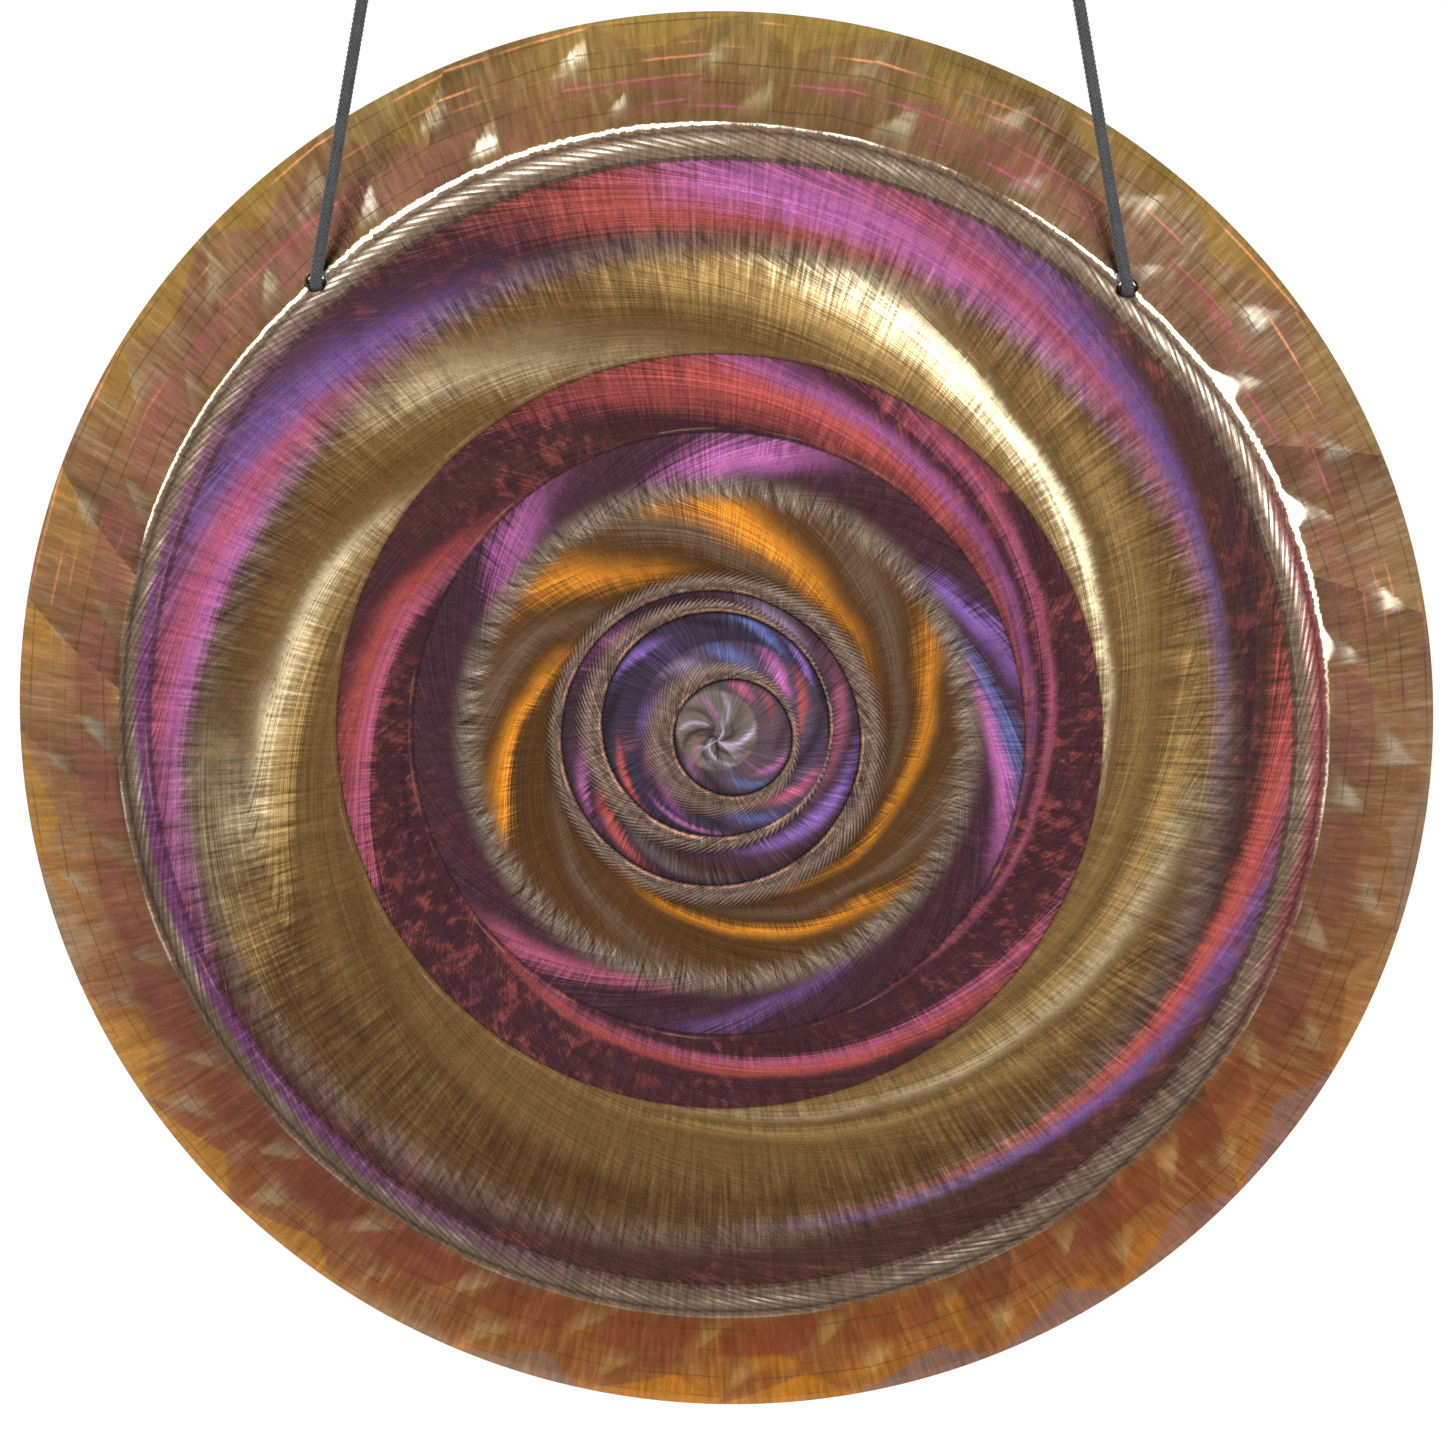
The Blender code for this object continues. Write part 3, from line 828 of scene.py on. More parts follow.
def bronze():
    """The gong's finish, laid out in rings about its axis."""
    g = Graph("hammered_bronze")
    rings = Rings(g)
    colour = grouped(inner_colour, rings, grouped(face_colour, rings))
    jag = rings.radial * 0.6 + rings.comb * 0.4
    strip = g.step(rings.radius + jag * 0.0003, 0.2446, 0.2452)
    colour = g.mix(strip, colour, grouped(strip_colour, rings))
    # The painted highlight on the shoulder's crest dips towards the two cord holes,
    # and rises in spikes between the flats of the inner row; it is brightest at the
    # glares and towards the top.
    glare = sum_of_glares(rings)
    holes = g.bump_at(g.math("ABSOLUTE", rings.angle), HOLE_ANGLE, 0.40)
    crest_radius = rings.radius + holes * 0.0022 + jag * (glare * 0.0008 + 0.0008)
    rim = g.step(crest_radius, CREST_RADIUS - 0.0012, CREST_RADIUS - 0.0006)
    colour = g.mix(rim, colour, grouped(rim_colour, rings))
    place = g.math("FRACT", flat_cell(rings, 0.5))
    apart = 0.5 - g.math("ABSOLUTE", place - 0.5)
    spike = g.step(apart, 0.16, 0.0) * rings.near(*GLARES[0]) * 0.0075
    wear_and_painted_light = g.step(rings.drift + rings.radial * 0.06, 0.36, 0.60)
    top = spike + (glare * 0.0014 + wear_and_painted_light * 0.0005 + 0.0003)
    above = crest_radius - CREST_RADIUS
    crest = g.step(above, top, top * 0.4) * g.step(above, -0.0012, 0.0)
    shine = g.step(rings.north, -0.9, 0.9) * wear_and_painted_light * 0.6 + glare * 0.9 + wear_and_painted_light * 0.2
    colour = g.mix(g.clamp(shine) * crest, colour, CREAM_HIGHLIGHT)
    # Painted shade in a thin line just inside the crest.
    under = g.bump_at(crest_radius, CREST_RADIUS - 0.0030, 0.0016)
    colour = g.mix(under * 0.6, colour, srgb("3a2824"))

    groove, lip = None, None
    for crease_radius, half_width, depth in CREASES:
        part = g.bump_at(rings.radius, crease_radius, half_width) * depth
        groove = part if groove is None else groove + part
        edge = g.bump_at(rings.radius, crease_radius + 2.4 * half_width, half_width)
        lip = edge * depth if lip is None else lip + edge * depth
    # Painted shade in the creases' grooves, and a painted highlight on their lips.
    colour = g.mix(groove, colour, PAINTED_SHADE)
    lit = g.step(rings.drift, 0.45, 0.62)
    colour = g.mix(lip * lit * 0.6, colour, srgb("d8ab92"))

    # Hairlines from the torch-brush and the lathe, drawn as light and dark streaks that are
    # partly real marks and partly painted glints; they are lighter where the tint is light, which
    # boosts the painted highlights.
    grey = g.node("ShaderNodeRGBToBW")
    g.link(colour, grey.inputs[0])
    bright = g.step(Value(g, grey.outputs[0]), 0.22, 0.80)
    smooth = g.step(rings.radius, 0.245, 0.258)
    # The hairs that cross the rest are fainter on the rim and about the hub.
    calm = g.clamp(smooth * 0.6 + g.step(rings.radius, 0.080, 0.070) * 0.75)
    # Where the sweep turns back on itself, the hairs straighten instead.
    straight = g.bump_at(rings.radius, 0.2040, 0.0240)
    depth = (
        rings.fine * (1.0 - straight * 0.75)
        + rings.radial * (0.50 - calm * 0.25 + straight * 0.50)
        + (rings.crossed * 0.28 + rings.counter * 0.24) * (1.0 - calm)
        + rings.comb * (0.30 - straight * 0.20)
        + (rings.spun - 0.5) * 0.15
    )
    depth = depth * (1.0 - smooth * 0.45)
    shade = g.math("POWER", 2.0, depth) * (bright * 0.85 + 0.50 + smooth * 0.06)
    colour = g.mix(1.0, colour, g.vector(shade, shade, shade), blend="MULTIPLY")
    colour = g.mix(back_side(g), colour, back_colour(rings))

    g.link(colour, g.shader.inputs["Base Color"])
    g.shader.inputs["Metallic"].default_value = 1.0
    rough = 0.36 - smooth * 0.12 + rings.fine * 0.04 + (rings.mottle - 0.5) * 0.12
    g.link(rough, g.shader.inputs["Roughness"])
    g.shader.inputs["Anisotropic"].default_value = 0.35
    tangent = g.node("ShaderNodeTangent", direction_type="RADIAL", axis="Y")
    g.tree.links.new(tangent.outputs[0], g.shader.inputs["Tangent"])
    relief = (
        rings.fine * (0.20 - straight * 0.14)
        + (rings.crossed * 0.13 + rings.counter * 0.10) * (1.0 - calm)
        + rings.radial * 0.14
        + rings.comb * 0.10
    )
    g.bumped(relief, 0.0005)
    return g.material


def back_side(g):
    """1 on surfaces that face backwards."""
    normal = g.node("ShaderNodeNewGeometry").outputs["Normal"]
    facing = g.node("ShaderNodeVectorTransform", vector_type="NORMAL")
    facing.convert_from, facing.convert_to = "WORLD", "OBJECT"
    g.tree.links.new(normal, facing.inputs[0])
    parts = g.node("ShaderNodeSeparateXYZ")
    g.tree.links.new(facing.outputs[0], parts.inputs[0])
    return g.step(Value(g, parts.outputs[1]), 0.0, 0.1)


def back_colour(rings):
    """Plain dark bronze with ring lines from the lathe."""
    g = rings.g
    tone = g.mix(g.clamp((rings.drift - 0.3) * 2.0), srgb("4f3a28"), srgb("80603c"))
    return g.mix(g.clamp((rings.spun - 0.4) * 3.0) * 0.5, tone, srgb("96754a"))


# --- The gong's shape -------------------------------------------------------

# Points to a ring of the front's mesh, and the rings' spacing.
COLUMNS = 480
SPACING = 0.0028
FINE_SPACING = 0.0011
BACK_SPACING = 0.0052
# How far the section is smoothed, where that ends near the edge, and how softly.
SMOOTH_REACH = 0.0022
SMOOTH_END = 0.296
SMOOTH_FADE = 0.006


def smooth_section(radius):
    """Height of the front surface without its CAD polyline's corners."""
    radii, heights = zip(*SECTION)
    total = 0.0
    for step in (-1.0, -0.5, 0.0, 0.5, 1.0):
        near = np.clip(np.abs(radius + step * SMOOTH_REACH), 0.0, RIM_RADIUS)
        total = total + np.interp(near, radii, heights)
    edge = np.clip((radius - SMOOTH_END) / SMOOTH_FADE, 0.0, 1.0)
    return total / 5 * (1 - edge) + np.interp(radius, radii, heights) * edge


def swept_turn(radius):
    """How far the bands have turned at a radius, in radians."""
    total = np.zeros_like(radius)
    for (outer, inner, degrees, power, *_), _ in ZONES:
        share = np.clip((outer - radius) / (outer - inner), 0.0, 1.0)
        total = total + share**power * math.radians(degrees)
    return total


def hammer_flats(radius, angle):
    """Depth of the two staggered rows of hammer flats, in metres."""
    random = np.random.default_rng(11)
    depth = np.zeros_like(radius)
    for row_radius, half_width, offset in FLAT_ROWS:
        drifted = angle + STEP_DRIFT * np.sin(angle - STEP_DRIFT_ANGLE) - FLAT_START
        cell = (drifted / FULL_TURN * FLATS + offset + 0.5) % FLATS
        index = np.floor(cell).astype(int)
        across = (cell - index) * 2 - 1
        shift = random.uniform(-0.0015, 0.0015, FLATS)[index]
        deep = random.uniform(0.00045, 0.00085, FLATS)[index]
        up = (radius - row_radius - shift) / half_width
        flat = np.clip(1 - across**2, 0, 1) * np.clip(1 - up**2, 0, 1)
        depth = np.maximum(depth, deep * flat)
    return depth


def relief(radius, angle):
    """Everything the hammer and the lathe add to the section, in metres."""
    height = -hammer_flats(radius, angle)
    swept = angle - swept_turn(radius)
    fade = np.clip((radius - 0.01) / 0.03, 0, 1) * np.clip((0.243 - radius) / 0.01, 0, 1)
    waves = (
        0.00016 * np.sin(5 * swept + 0.6)
        + 0.00010 * np.sin(8 * swept + 2.1)
        + 0.00007 * np.sin(13 * swept + 4.0)
    )
    height += fade * waves
    for crease_radius, half_width, depth in CREASES:
        off = (radius - crease_radius) / (half_width * 1.6)
        height -= 0.0005 * depth * np.exp(-(off**2))
        lip = (radius - crease_radius - half_width * 3.2) / (half_width * 2.2)
        height += 0.00022 * depth * np.exp(-(lip**2))
    for (x, z, outer, collar, _, depth, _), _ in INNER_RINGS:
        east, north = radius * np.sin(angle) - x, radius * np.cos(angle) - z
        apart = np.hypot(east, north) - outer
        height -= 0.00045 * depth * np.exp(-((apart / 0.0012) ** 2))
        if collar:
            width = collar[0]
            height += 0.00040 * np.exp(-(((apart - width * 0.45) / (width * 0.4)) ** 2))
    return height


def sheet_radii(spacing, fine_spacing):
    """Ring radii from the hub to the rim, closer together where the detail is."""
    radii = [0.0]
    while radii[-1] < RIM_RADIUS:
        near = min(abs(radii[-1] - crease[0]) for crease in CREASES)
        fine = near < 0.003 or radii[-1] < INNER_RADIUS
        radii.append(radii[-1] + (fine_spacing if fine else spacing))
    radii[-1] = RIM_RADIUS
    return radii


def gong_surface(radii, columns, offset):
    """Grid of points at those radii, moved back by the offset."""
    radius = np.array(radii)[1:, None] * np.ones(columns)
    angle = np.arange(columns) / columns * FULL_TURN * np.ones((len(radii) - 1, 1))
    height = smooth_section(radius) + relief(radius, angle) - offset(radius)
    return np.stack([radius * np.sin(angle), -height, radius * np.cos(angle)], axis=-1)


def make_gong(material):
    front_radii = sheet_radii(SPACING, FINE_SPACING)
    back_radii = sheet_radii(BACK_SPACING, BACK_SPACING)
    radii, heights = zip(*SECTION)

    def thickness(radius):
        slope = (
            np.interp(np.minimum(radius + 0.002, RIM_RADIUS), radii, heights)
            - np.interp(radius - 0.002, radii, heights)
        ) / (np.minimum(radius + 0.002, RIM_RADIUS) - radius + 0.002)
        return SHEET * np.sqrt(1 + slope**2)

    front = gong_surface(front_radii, COLUMNS, lambda radius: 0.0)
    back = gong_surface(back_radii, COLUMNS // 2, thickness)
    # The rim's edge is square to the sheet, so its back corner steps inwards.
    slope = math.atan2(heights[-2] - heights[-1], radii[-1] - radii[-2])
    inset = SHEET * math.sin(slope)
    back[-1, :, 0] *= 1 - inset / RIM_RADIUS
    back[-1, :, 2] *= 1 - inset / RIM_RADIUS
    back[-1, :, 1] = SHEET * math.cos(slope)

    mesh = bmesh.new()

    def rows_of(points):
        return [[mesh.verts.new(p) for p in row] for row in points]

    def close_hub(row, height, flip):
        hub = mesh.verts.new((0.0, -height, 0.0))
        for a, b in zip(row, row[1:] + row[:1]):
            mesh.faces.new((hub, b, a) if flip else (hub, a, b))

    def close_rows(rows, flip):
        for low, high in zip(rows, rows[1:]):
            for i in range(len(low)):
                j = (i + 1) % len(low)
                quad = (low[i], low[j], high[j], high[i])
                mesh.faces.new(quad[::-1] if flip else quad)

    front_rows, back_rows = rows_of(front), rows_of(back)
    hub_height = SECTION[0][1]
    close_hub(front_rows[0], hub_height, True)
    close_rows(front_rows, False)
    close_hub(back_rows[0], hub_height - SHEET, False)
    close_rows(back_rows, True)
    outer, inner = front_rows[-1], back_rows[-1]
    for i in range(len(inner)):
        a, b, c = outer[2 * i], outer[2 * i + 1], outer[(2 * i + 2) % len(outer)]
        d, e = inner[i], inner[(i + 1) % len(inner)]
        mesh.faces.new((a, b, d))
        mesh.faces.new((b, e, d))
        mesh.faces.new((b, c, e))
    bmesh.ops.recalc_face_normals(mesh, faces=mesh.faces)

    data = bpy.data.meshes.new("gong")
    mesh.to_mesh(data)
    mesh.free()
    data.shade_smooth()
    gong = add_object("gong", data)
    gong.location = GONG_CENTRE
    data.materials.append(material)
    drill_holes(gong)
    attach(gong, "gong")
    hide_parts("gong_disc")


def drill_holes(gong):
    """Cut the two cord holes square to the shoulder."""
    radii, heights = zip(*SECTION)
    near, far = HOLE_PITCH_RADIUS - 0.005, HOLE_PITCH_RADIUS + 0.005
    drop = np.interp(near, radii, heights) - np.interp(far, radii, heights)
    slope = math.atan2(drop, far - near)
    height = np.interp(HOLE_PITCH_RADIUS, radii, heights)
    drills = []
    for side, label in SIDES:
        data = bpy.data.meshes.new(f"drill_{label}")
        cutter = bmesh.new()
        bmesh.ops.create_cone(
            cutter,
            cap_ends=True,
            segments=40,
            radius1=HOLE_RADIUS,
            radius2=HOLE_RADIUS,
            depth=0.012,
        )
        cutter.to_mesh(data)
        cutter.free()
        drill = add_object(data.name, data)
        drill.location = gong.location + Vector((side * HOLE_X, -height, HOLE_UP))
        outward = Vector((side * math.sin(HOLE_ANGLE), 0.0, math.cos(HOLE_ANGLE)))
        normal = Vector((0.0, -1.0, 0.0)) * math.cos(slope) + outward * math.sin(slope)
        drill.rotation_mode = "QUATERNION"
        drill.rotation_quaternion = Vector((0, 0, 1)).rotation_difference(normal)
        hole = gong.modifiers.new(data.name, "BOOLEAN")
        hole.operation = "DIFFERENCE"
        hole.solver = "EXACT"
        hole.object = drill
        drills.append(drill)
    bpy.context.view_layer.update()
    evaluated = gong.evaluated_get(bpy.context.evaluated_depsgraph_get())
    drilled = bpy.data.meshes.new_from_object(evaluated)
    gong.modifiers.clear()
    gong.data = drilled
    for drill in drills:
        bpy.data.objects.remove(drill)


# --- Cords ------------------------------------------------------------------


def cord_direction(side):
    return Vector((-side * math.sin(CORD_LEAN), 0.0, math.cos(CORD_LEAN)))


def on_cord(side, rise):
    return Vector((side * (HOLE_X - rise * math.tan(CORD_LEAN)), 0.0, HOLE_Z + rise))


def cord_route(side):
    """From the stopper knot, out through the hole and up to the loop knot."""
    hole = Vector((side * HOLE_X, 0.0, HOLE_Z))
    return [
        hole + Vector((0.0, 0.0122, -0.0066)),
        hole + Vector((0.0, 0.0050, -0.0004)),
        on_cord(side, FLEX_RISE) + Vector((0.0, FLEX_FORWARD, 0.0)),
        on_cord(side, 0.014),
        on_cord(side, 0.060),
        on_cord(side, 0.100),
        on_cord(side, LOOP_KNOT_RISE) - cord_direction(side) * LOOP_KNOT_HALF_LENGTH,
    ]


def smooth_route(points, spacing):
    """Points about one spacing apart on a Catmull-Rom curve through the points."""
    points = [Vector(p) for p in points]
    ends = [2 * points[0] - points[1], *points, 2 * points[-1] - points[-2]]
    route = [points[0]]
    for before, start, end, after in zip(ends, ends[1:], ends[2:], ends[3:]):
        count = max(1, round((end - start).length / spacing))
        for step in range(1, count + 1):
            t = step / count
            route.append(
                0.5
                * (
                    2 * start
                    + (end - before) * t
                    + (2 * before - 5 * start + 4 * end - after) * t**2
                    + (3 * start - before - 3 * end + after) * t**3
                )
            )
    return route


# The braid: strands, the length in which one goes round once, how often one
# crosses another in that length, its half thickness, and the core's sides.
STRANDS = 16
LAY = 0.0165
CROSSINGS = 8
STRAND_THICKNESS = 0.00032
CORE_SIDES = 14
STEPS_PER_LAY = 40
# A strand's section as (across, out), in half widths and half thicknesses.
STRAND_SECTION = [
    (-1.0, -0.4), (-0.55, 0.55), (0.0, 1.0), (0.55, 0.55), (1.0, -0.4), (0.0, -0.9)
]


class Shell:
    """Vertices and faces gathered from rings of points."""

    def __init__(self):
        self.verts, self.faces = [], []

    def add_rings(self, points):
        """Skin rings of points, given as (ring, point, xyz), and close both ends."""
        rings, sides = points.shape[:2]
        base = len(self.verts)
        self.verts.extend(map(tuple, points.reshape(-1, 3)))
        for i in range(rings - 1):
            low, high = base + i * sides, base + (i + 1) * sides
            for j in range(sides):
                k = (j + 1) % sides
                self.faces.append((low + j, low + k, high + k, high + j))
        self.faces.append(tuple(base + j for j in range(sides))[::-1])
        self.faces.append(tuple(base + (rings - 1) * sides + j for j in range(sides)))

    def make(self, name, material, sharp=None):
        data = bpy.data.meshes.new(name)
        data.from_pydata(self.verts, [], self.faces)
        data.validate()
        data.shade_smooth()
        if sharp:
            data.set_sharp_from_angle(angle=sharp)
        data.materials.append(material)
        return add_object(name, data)


def braided(name, routes, diameter, material):
    """A round braid along each route: strands wound both ways over a core."""
    shell = Shell()
    for route in routes:
        add_braid(shell, np.array([tuple(p) for p in route], float), diameter)
    return shell.make(name, material)


def route_length(route):
    return sum((b - a).length for a, b in zip(route, route[1:]))


def add_braid(shell, route, diameter):
    step = np.linalg.norm(np.diff(route, axis=0), axis=1)
    along = np.concatenate([[0.0], np.cumsum(step)])
    length = along[-1]
    tangent = np.gradient(route, along, axis=0)
    tangent /= np.linalg.norm(tangent, axis=1)[:, None]
    side = np.zeros_like(route)
    first = np.cross(tangent[0], [0.0, 1.0, 0.0])
    if np.linalg.norm(first) < 0.1:
        first = np.cross(tangent[0], [1.0, 0.0, 0.0])
    side[0] = first / np.linalg.norm(first)
    for i in range(1, len(route)):
        carried = side[i - 1] - tangent[i] * (side[i - 1] @ tangent[i])
        side[i] = carried / np.linalg.norm(carried)
    up = np.cross(tangent, side)

    core = diameter / 2 * 0.80

    def ring_at(distance, angle, reach):
        """Points at that distance along, angle round and reach out."""
        centre = np.stack([np.interp(distance, along, route[:, k]) for k in range(3)], -1)
        a = np.stack([np.interp(distance, along, side[:, k]) for k in range(3)], -1)
        b = np.stack([np.interp(distance, along, up[:, k]) for k in range(3)], -1)
        return centre + reach[..., None] * (
            a * np.cos(angle)[..., None] + b * np.sin(angle)[..., None]
        )

    count = max(8, round(length / 0.003))
    distance = np.linspace(0, length, count + 1)[:, None] * np.ones(CORE_SIDES)
    around = np.arange(CORE_SIDES) / CORE_SIDES * FULL_TURN * np.ones((count + 1, 1))
    shell.add_rings(ring_at(distance, around, np.full(around.shape, core)))

    samples = max(12, round(length / LAY * STEPS_PER_LAY))
    s = np.linspace(0, length, samples + 1)
    half_width = math.pi * diameter / STRANDS * 0.52
    for strand in range(STRANDS):
        way = 1 if strand % 2 else -1
        start = (strand // 2) / (STRANDS // 2) * FULL_TURN
        angle = start + way * s / LAY * FULL_TURN
        over = way * math.pi / 2 + strand // 2 * math.pi
        weave = np.sin(CROSSINGS * s / LAY * math.pi + over)
        reach = core + 0.00024 + 0.00016 * weave
        # Across a strand is along the cord's surface, square to the strand.
        pitch = math.atan2(math.pi * diameter, LAY)
        rings = []
        for across, out in STRAND_SECTION:
            shift = across * half_width
            rings.append(
                ring_at(
                    np.clip(s - way * shift * math.sin(pitch), 0, length),
                    angle + shift * math.cos(pitch) / (diameter / 2),
                    reach + out * STRAND_THICKNESS,
                )
            )
        shell.add_rings(np.stack(rings, axis=1))


def knot_routes(centre, axis, radius, half_length, tail):
    """A barrel knot's turns about its axis, and its cut tail."""
    axis = axis.normalized()
    across = axis.cross(Vector((0.0, 1.0, 0.0)) if abs(axis.y) < 0.8 else Vector((1.0, 0.0, 0.0)))
    across.normalize()
    up = axis.cross(across)
    span = 2 * half_length - CORD_DIAMETER
    turns = span / (CORD_DIAMETER * 0.92)
    coil = []
    for step in range(KNOT_STEPS + 1):
        t = step / KNOT_STEPS
        tuck = min(1.0, min(t, 1 - t) / 0.12)
        reach = (radius - CORD_DIAMETER / 2) * tuck * tuck * (3 - 2 * tuck)
        angle = FULL_TURN * (turns + 0.5) * t
        spoke = across * math.cos(angle) + up * math.sin(angle)
        coil.append(centre + axis * (t - 0.5) * span + spoke * reach)
    return [coil, smooth_route([centre + Vector(p) for p in tail], 0.001)]


def make_knot(name, node, body, routes, material):
    knot = braided(name, routes, CORD_DIAMETER, material)
    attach(knot, body)
    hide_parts(node)
    return knot


def make_loop(side, label, material):
    """The knotted loop that hangs on the hook."""
    up = cord_direction(side)
    centre = on_cord(side, LOOP_KNOT_RISE)
    top = centre + up * LOOP_KNOT_HALF_LENGTH
    height = (on_cord(side, HOOK_WIRE_RISE) - top).length
    leg = [(-0.003, 0.0022), (0.0004, 0.00265), (0.007, 0.0034), (0.014, 0.0050)]
    bend = []
    for step in range(13):
        turn = math.pi * step / 12
        bend.append((height + LOOP_BEND * math.sin(turn), LOOP_BEND * math.cos(turn)))
    outline = leg + bend + [(along, -across) for along, across in reversed(leg)]
    points = [top + up * along + Vector((0.0, across, 0.0)) for along, across in outline]
    loop = braided(
        f"braided_loop_{label}", [smooth_route(points, 0.0015)], CORD_DIAMETER, material
    )
    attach(loop, "suspension")
    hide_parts(f"hanging_loop_{label}")
    return loop


def make_cords(material):
    for side, label in SIDES:
        route = smooth_route(cord_route(side), 0.002)
        piece = braided(f"braided_cord_{label}", [route], CORD_DIAMETER, material)
        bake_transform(piece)
        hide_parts(f"cord_{label}")
        stopper = make_knot(
            f"tied_stopper_{label}",
            f"stopper_knot_{label}",
            "gong",
            knot_routes(
                route[0],
                route[0] - route[2],
                STOPPER_RADIUS,
                STOPPER_RADIUS,
                [(0.0, 0.0, 0.0), (0.0, 0.0045, -0.0050), (side * 0.002, 0.0070, -0.0110)],
            ),
            material,
        )
        down = -cord_direction(side)
        outward = Vector((side, 0.0, 0.0))
        knot_centre = on_cord(side, LOOP_KNOT_RISE)
        wound = knot_routes(
            knot_centre,
            cord_direction(side),
            LOOP_KNOT_RADIUS,
            LOOP_KNOT_HALF_LENGTH,
            [outward * 0.003, down * 0.006 + outward * 0.005, down * 0.013 + outward * 0.0066],
        )
        standing = smooth_route([route[-1], knot_centre], 0.001)
        tied = make_knot(
            f"tied_loop_knot_{label}",
            f"loop_knot_{label}",
            "suspension",
            [*wound, standing],
            material,
        )
        loop = make_loop(side, label, material)
        route_length(route)


def cord_fibre():
    """Dark grey polyester with a dry sheen."""
    g = Graph("braided_cord")
    *_, place = g.place()
    fleck = g.noise(place, scale=1400.0, detail=3.0)
    wear_and_painted_light = g.noise(place, scale=180.0, detail=2.0)
    tone = g.clamp((fleck - 0.35) * 1.8 + (wear_and_painted_light - 0.5) * 0.8)
    g.link(g.mix(tone, srgb("1f1f22"), srgb("505054")), g.shader.inputs["Base Color"])
    g.link(0.62 + (fleck - 0.5) * 0.3, g.shader.inputs["Roughness"])
    g.shader.inputs["Sheen Weight"].default_value = 0.25
    g.shader.inputs["Sheen Roughness"].default_value = 0.5
    g.bumped(fleck, 0.0002, 0.6)
    return g.material


# --- Screw hooks ------------------------------------------------------------


def turned(profile, sides=40):
    """Rings of points from a (radius, height) profile turned about Z."""
    angle = np.arange(sides) / sides * FULL_TURN
    radius, height = np.array(profile).T[:, :, None]
    flat = np.ones(sides)
    return np.stack([radius * np.cos(angle), radius * np.sin(angle), height * flat], -1)


def threaded_shank():
    """Rings of points up a wood-screw thread that runs out at a point."""
    rise = np.arange(0.0, SHANK_LENGTH, THREAD_PITCH / 10)[:, None]
    angle = np.arange(36)[None, :] / 36 * FULL_TURN
    taper = np.clip((SHANK_LENGTH - rise) / SHANK_TAPER, 0.0, 1.0) ** 0.8
    phase = (rise / THREAD_PITCH - angle / FULL_TURN) % 1.0
    ridge = np.clip(1.0 - np.abs(phase - 0.5) * 3.4, 0.0, 1.0)
    cut = np.clip((rise - 0.003) / 0.002, 0.0, 1.0)
    radius = (SHANK_RADIUS - THREAD_DEPTH * cut * (1.0 - ridge)) * taper + 0.00001
    return np.stack([radius * np.cos(angle), radius * np.sin(angle), rise + 0 * angle], axis=-1)


def hook_wire_points():
    """The hook's wire, from its collar down the neck and round the bowl."""
    centre = Vector((0.0, 0.0, -BOWL_DEPTH))
    bowl = []
    for step in range(BOWL_STEPS + 1):
        angle = BOWL_START + (BOWL_END - BOWL_START) * step / BOWL_STEPS
        bowl.append(centre + Vector((math.cos(angle), 0.0, math.sin(angle))) * BOWL_RADIUS)
    top = Vector((0.0, 0.0, -NECK_TOP))
    reach = (bowl[0] - top).length
    down = Vector((0.0, 0.0, -reach))
    into_bowl = Vector((math.sin(BOWL_START), 0.0, -math.cos(BOWL_START))) * reach
    neck = []
    for step in range(NECK_STEPS):
        t = step / NECK_STEPS
        neck.append(
            top * (2 * t**3 - 3 * t**2 + 1)
            + down * (t**3 - 2 * t**2 + t)
            + bowl[0] * (3 * t**2 - 2 * t**3)
            + into_bowl * (t**3 - t**2)
        )
    return neck + bowl


def hook_wire():
    """Rings of points along the bent wire, with its cut end rounded over."""
    points = hook_wire_points()
    end = points[-1]
    rings = []
    for i, point in enumerate(points):
        before, after = points[max(i - 1, 0)], points[min(i + 1, len(points) - 1)]
        along = (after - before).normalized()
        rings.append((point, along, HOOK_WIRE_RADIUS))
    along = rings[-1][1]
    rings[-1] = (end - along * 0.0011, along, HOOK_WIRE_RADIUS)
    for back, share in ((0.0007, 0.96), (0.0003, 0.82), (0.0001, 0.66), (0.0, 0.45)):
        rings.append((end - along * back, along, HOOK_WIRE_RADIUS * share))
    out = []
    for point, along, radius in rings:
        across = along.cross(Vector((0.0, 1.0, 0.0)))
        out.append(
            [
                tuple(
                    point
                    + across * radius * math.cos(FULL_TURN * k / 28)
                    + Vector((0.0, radius, 0.0)) * math.sin(FULL_TURN * k / 28)
                )
                for k in range(28)
            ]
        )
    return np.array(out)


def make_hooks(material):
    collar = [
        (0.0001, 0.0), (COLLAR_RADIUS - 0.0004, 0.0), (COLLAR_RADIUS, -0.0003),
        (COLLAR_RADIUS, -COLLAR_THICKNESS + 0.0003),
        (COLLAR_RADIUS - 0.0004, -COLLAR_THICKNESS), (0.0052, -0.0019), (0.0040, -0.0024),
        (SHANK_RADIUS + 0.0008, -COLLAR_DEPTH), (0.0001, -COLLAR_DEPTH),
    ]
    for side, label in SIDES:
        shell = Shell()
        shell.add_rings(threaded_shank())
        shell.add_rings(turned(collar))
        shell.add_rings(hook_wire())
        hook = shell.make(f"zinc_hook_{label}", material, sharp=math.radians(35))
        hook.location = (side * HOOK_X, 0.0, 0.0)
        hook.rotation_euler = (0.0, 0.0, 0.0 if side > 0 else math.pi)
        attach(hook, "hooks")
        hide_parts(f"screw_hook_{label}")


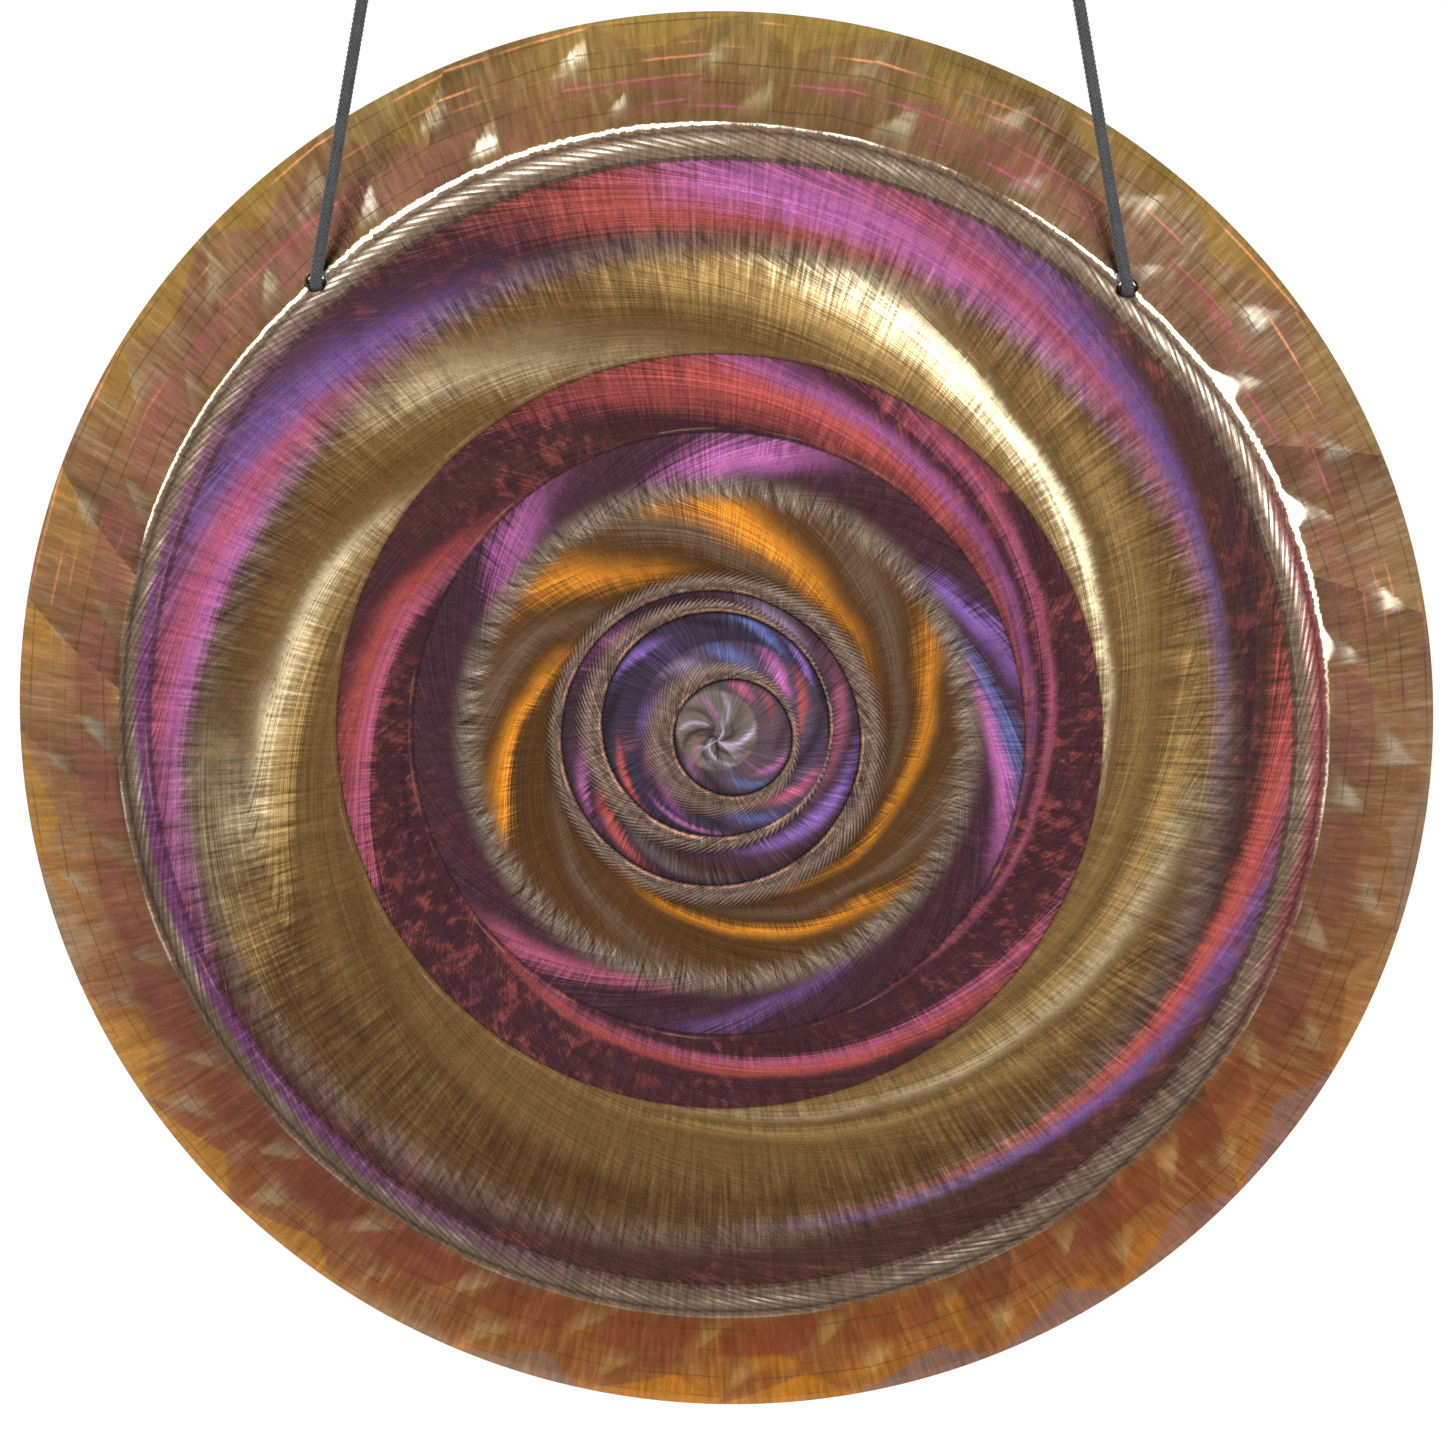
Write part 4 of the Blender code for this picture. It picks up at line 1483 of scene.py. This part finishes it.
def zinc():
    """Bright zinc plate, duller in the thread's roots."""
    g = Graph("zinc_steel")
    x, y, z, place = g.place()
    cloud = g.noise(place, scale=420.0, detail=4.0)
    drawn = g.noise(g.vector(x * 900.0, y * 900.0, z * 90.0), detail=2.0)
    root = g.step(g.math("SQRT", x * x + y * y), 0.0023, 0.0018) * g.step(z, 0.001, 0.004)
    tone = g.mix(g.clamp((cloud - 0.35) * 2.2), srgb("9fa3a8"), srgb("d6d8da"))
    tone = g.mix(root * 0.7, tone, srgb("55544f"))
    g.link(tone, g.shader.inputs["Base Color"])
    g.shader.inputs["Metallic"].default_value = 1.0
    g.link(0.26 + (cloud - 0.5) * 0.2 + root * 0.2, g.shader.inputs["Roughness"])
    g.bumped(drawn * 0.5 + cloud * 0.5, 0.00008, 0.7)
    return g.material


# --- Stage ------------------------------------------------------------------

FLOOR_Z = -1.25
STRIP_WIDTH = 0.35
STRIP_RADIANCE = 9.0


def make_floor():
    g = Graph("floor")
    *_, place = g.place()
    cloud = g.noise(place, scale=0.8, detail=2.0)
    g.link(g.mix(cloud, srgb("f4f4f3"), srgb("fafafa")), g.shader.inputs["Base Color"])
    g.shader.inputs["Roughness"].default_value = 0.9
    data = bpy.data.meshes.new("floor")
    plane = bmesh.new()
    bmesh.ops.create_grid(plane, x_segments=1, y_segments=1, size=30.0)
    plane.to_mesh(data)
    plane.free()
    data.materials.append(g.material)
    floor = add_object("floor", data)
    floor.location = (0.0, 0.0, FLOOR_Z)
    floor.visible_glossy = False


def make_strip(name, first, second):
    """A long softbox between two points that faces the gong."""
    first, second = Vector(first), Vector(second)
    data = bpy.data.lights.new(name, "AREA")
    data.shape = "RECTANGLE"
    data.size, data.size_y = (second - first).length, STRIP_WIDTH
    data.energy = STRIP_RADIANCE * math.pi * data.size * data.size_y
    light = add_object(name, data)
    light.location = (first + second) / 2
    along = (second - first).normalized()
    away = light.location - GONG_CENTRE
    away = (away - along * away.dot(along)).normalized()
    across = away.cross(along)
    turn = Matrix((along, across, away)).transposed()
    light.rotation_mode = "QUATERNION"
    light.rotation_quaternion = turn.to_quaternion()
    light.visible_camera = False


def make_world():
    """White to the eye and on the floor; a softly uneven room in reflections."""
    world = bpy.data.worlds.new("studio")
    world.use_nodes = True
    tree = world.node_tree
    background = tree.nodes["Background"]
    where = tree.nodes.new("ShaderNodeTexCoord")
    noise = tree.nodes.new("ShaderNodeTexNoise")
    noise.inputs["Scale"].default_value = 2.2
    noise.inputs["Detail"].default_value = 2.0
    tree.links.new(where.outputs["Generated"], noise.inputs["Vector"])
    room = tree.nodes.new("ShaderNodeValToRGB")
    room.color_ramp.elements[0].position = 0.34
    room.color_ramp.elements[0].color = (0.95, 0.95, 0.97, 1.0)
    room.color_ramp.elements[1].position = 0.66
    room.color_ramp.elements[1].color = (1.95, 1.95, 2.0, 1.0)
    tree.links.new(noise.outputs["Fac"], room.inputs[0])
    ray = tree.nodes.new("ShaderNodeLightPath")
    pick = tree.nodes.new("ShaderNodeMix")
    pick.data_type = "RGBA"
    pick.inputs[6].default_value = (1.1, 1.1, 1.1, 1.0)
    tree.links.new(ray.outputs["Is Glossy Ray"], pick.inputs[0])
    tree.links.new(room.outputs[0], pick.inputs[7])
    tree.links.new(pick.outputs[2], background.inputs["Color"])
    bpy.context.scene.world = world


def main():
    make_camera()
    fibre = cord_fibre()
    make_cords(fibre)
    make_hooks(zinc())
    make_gong(bronze())
    make_floor()
    make_world()
    make_strip("strip_left", (-1.76, -2.5, 0.31), (-0.15, -2.7, 1.15))
    make_strip("strip_right", (1.19, -2.69, 0.67), (1.86, -2.52, -0.65))
    bpy.context.scene.view_settings.view_transform = "Standard"


main()
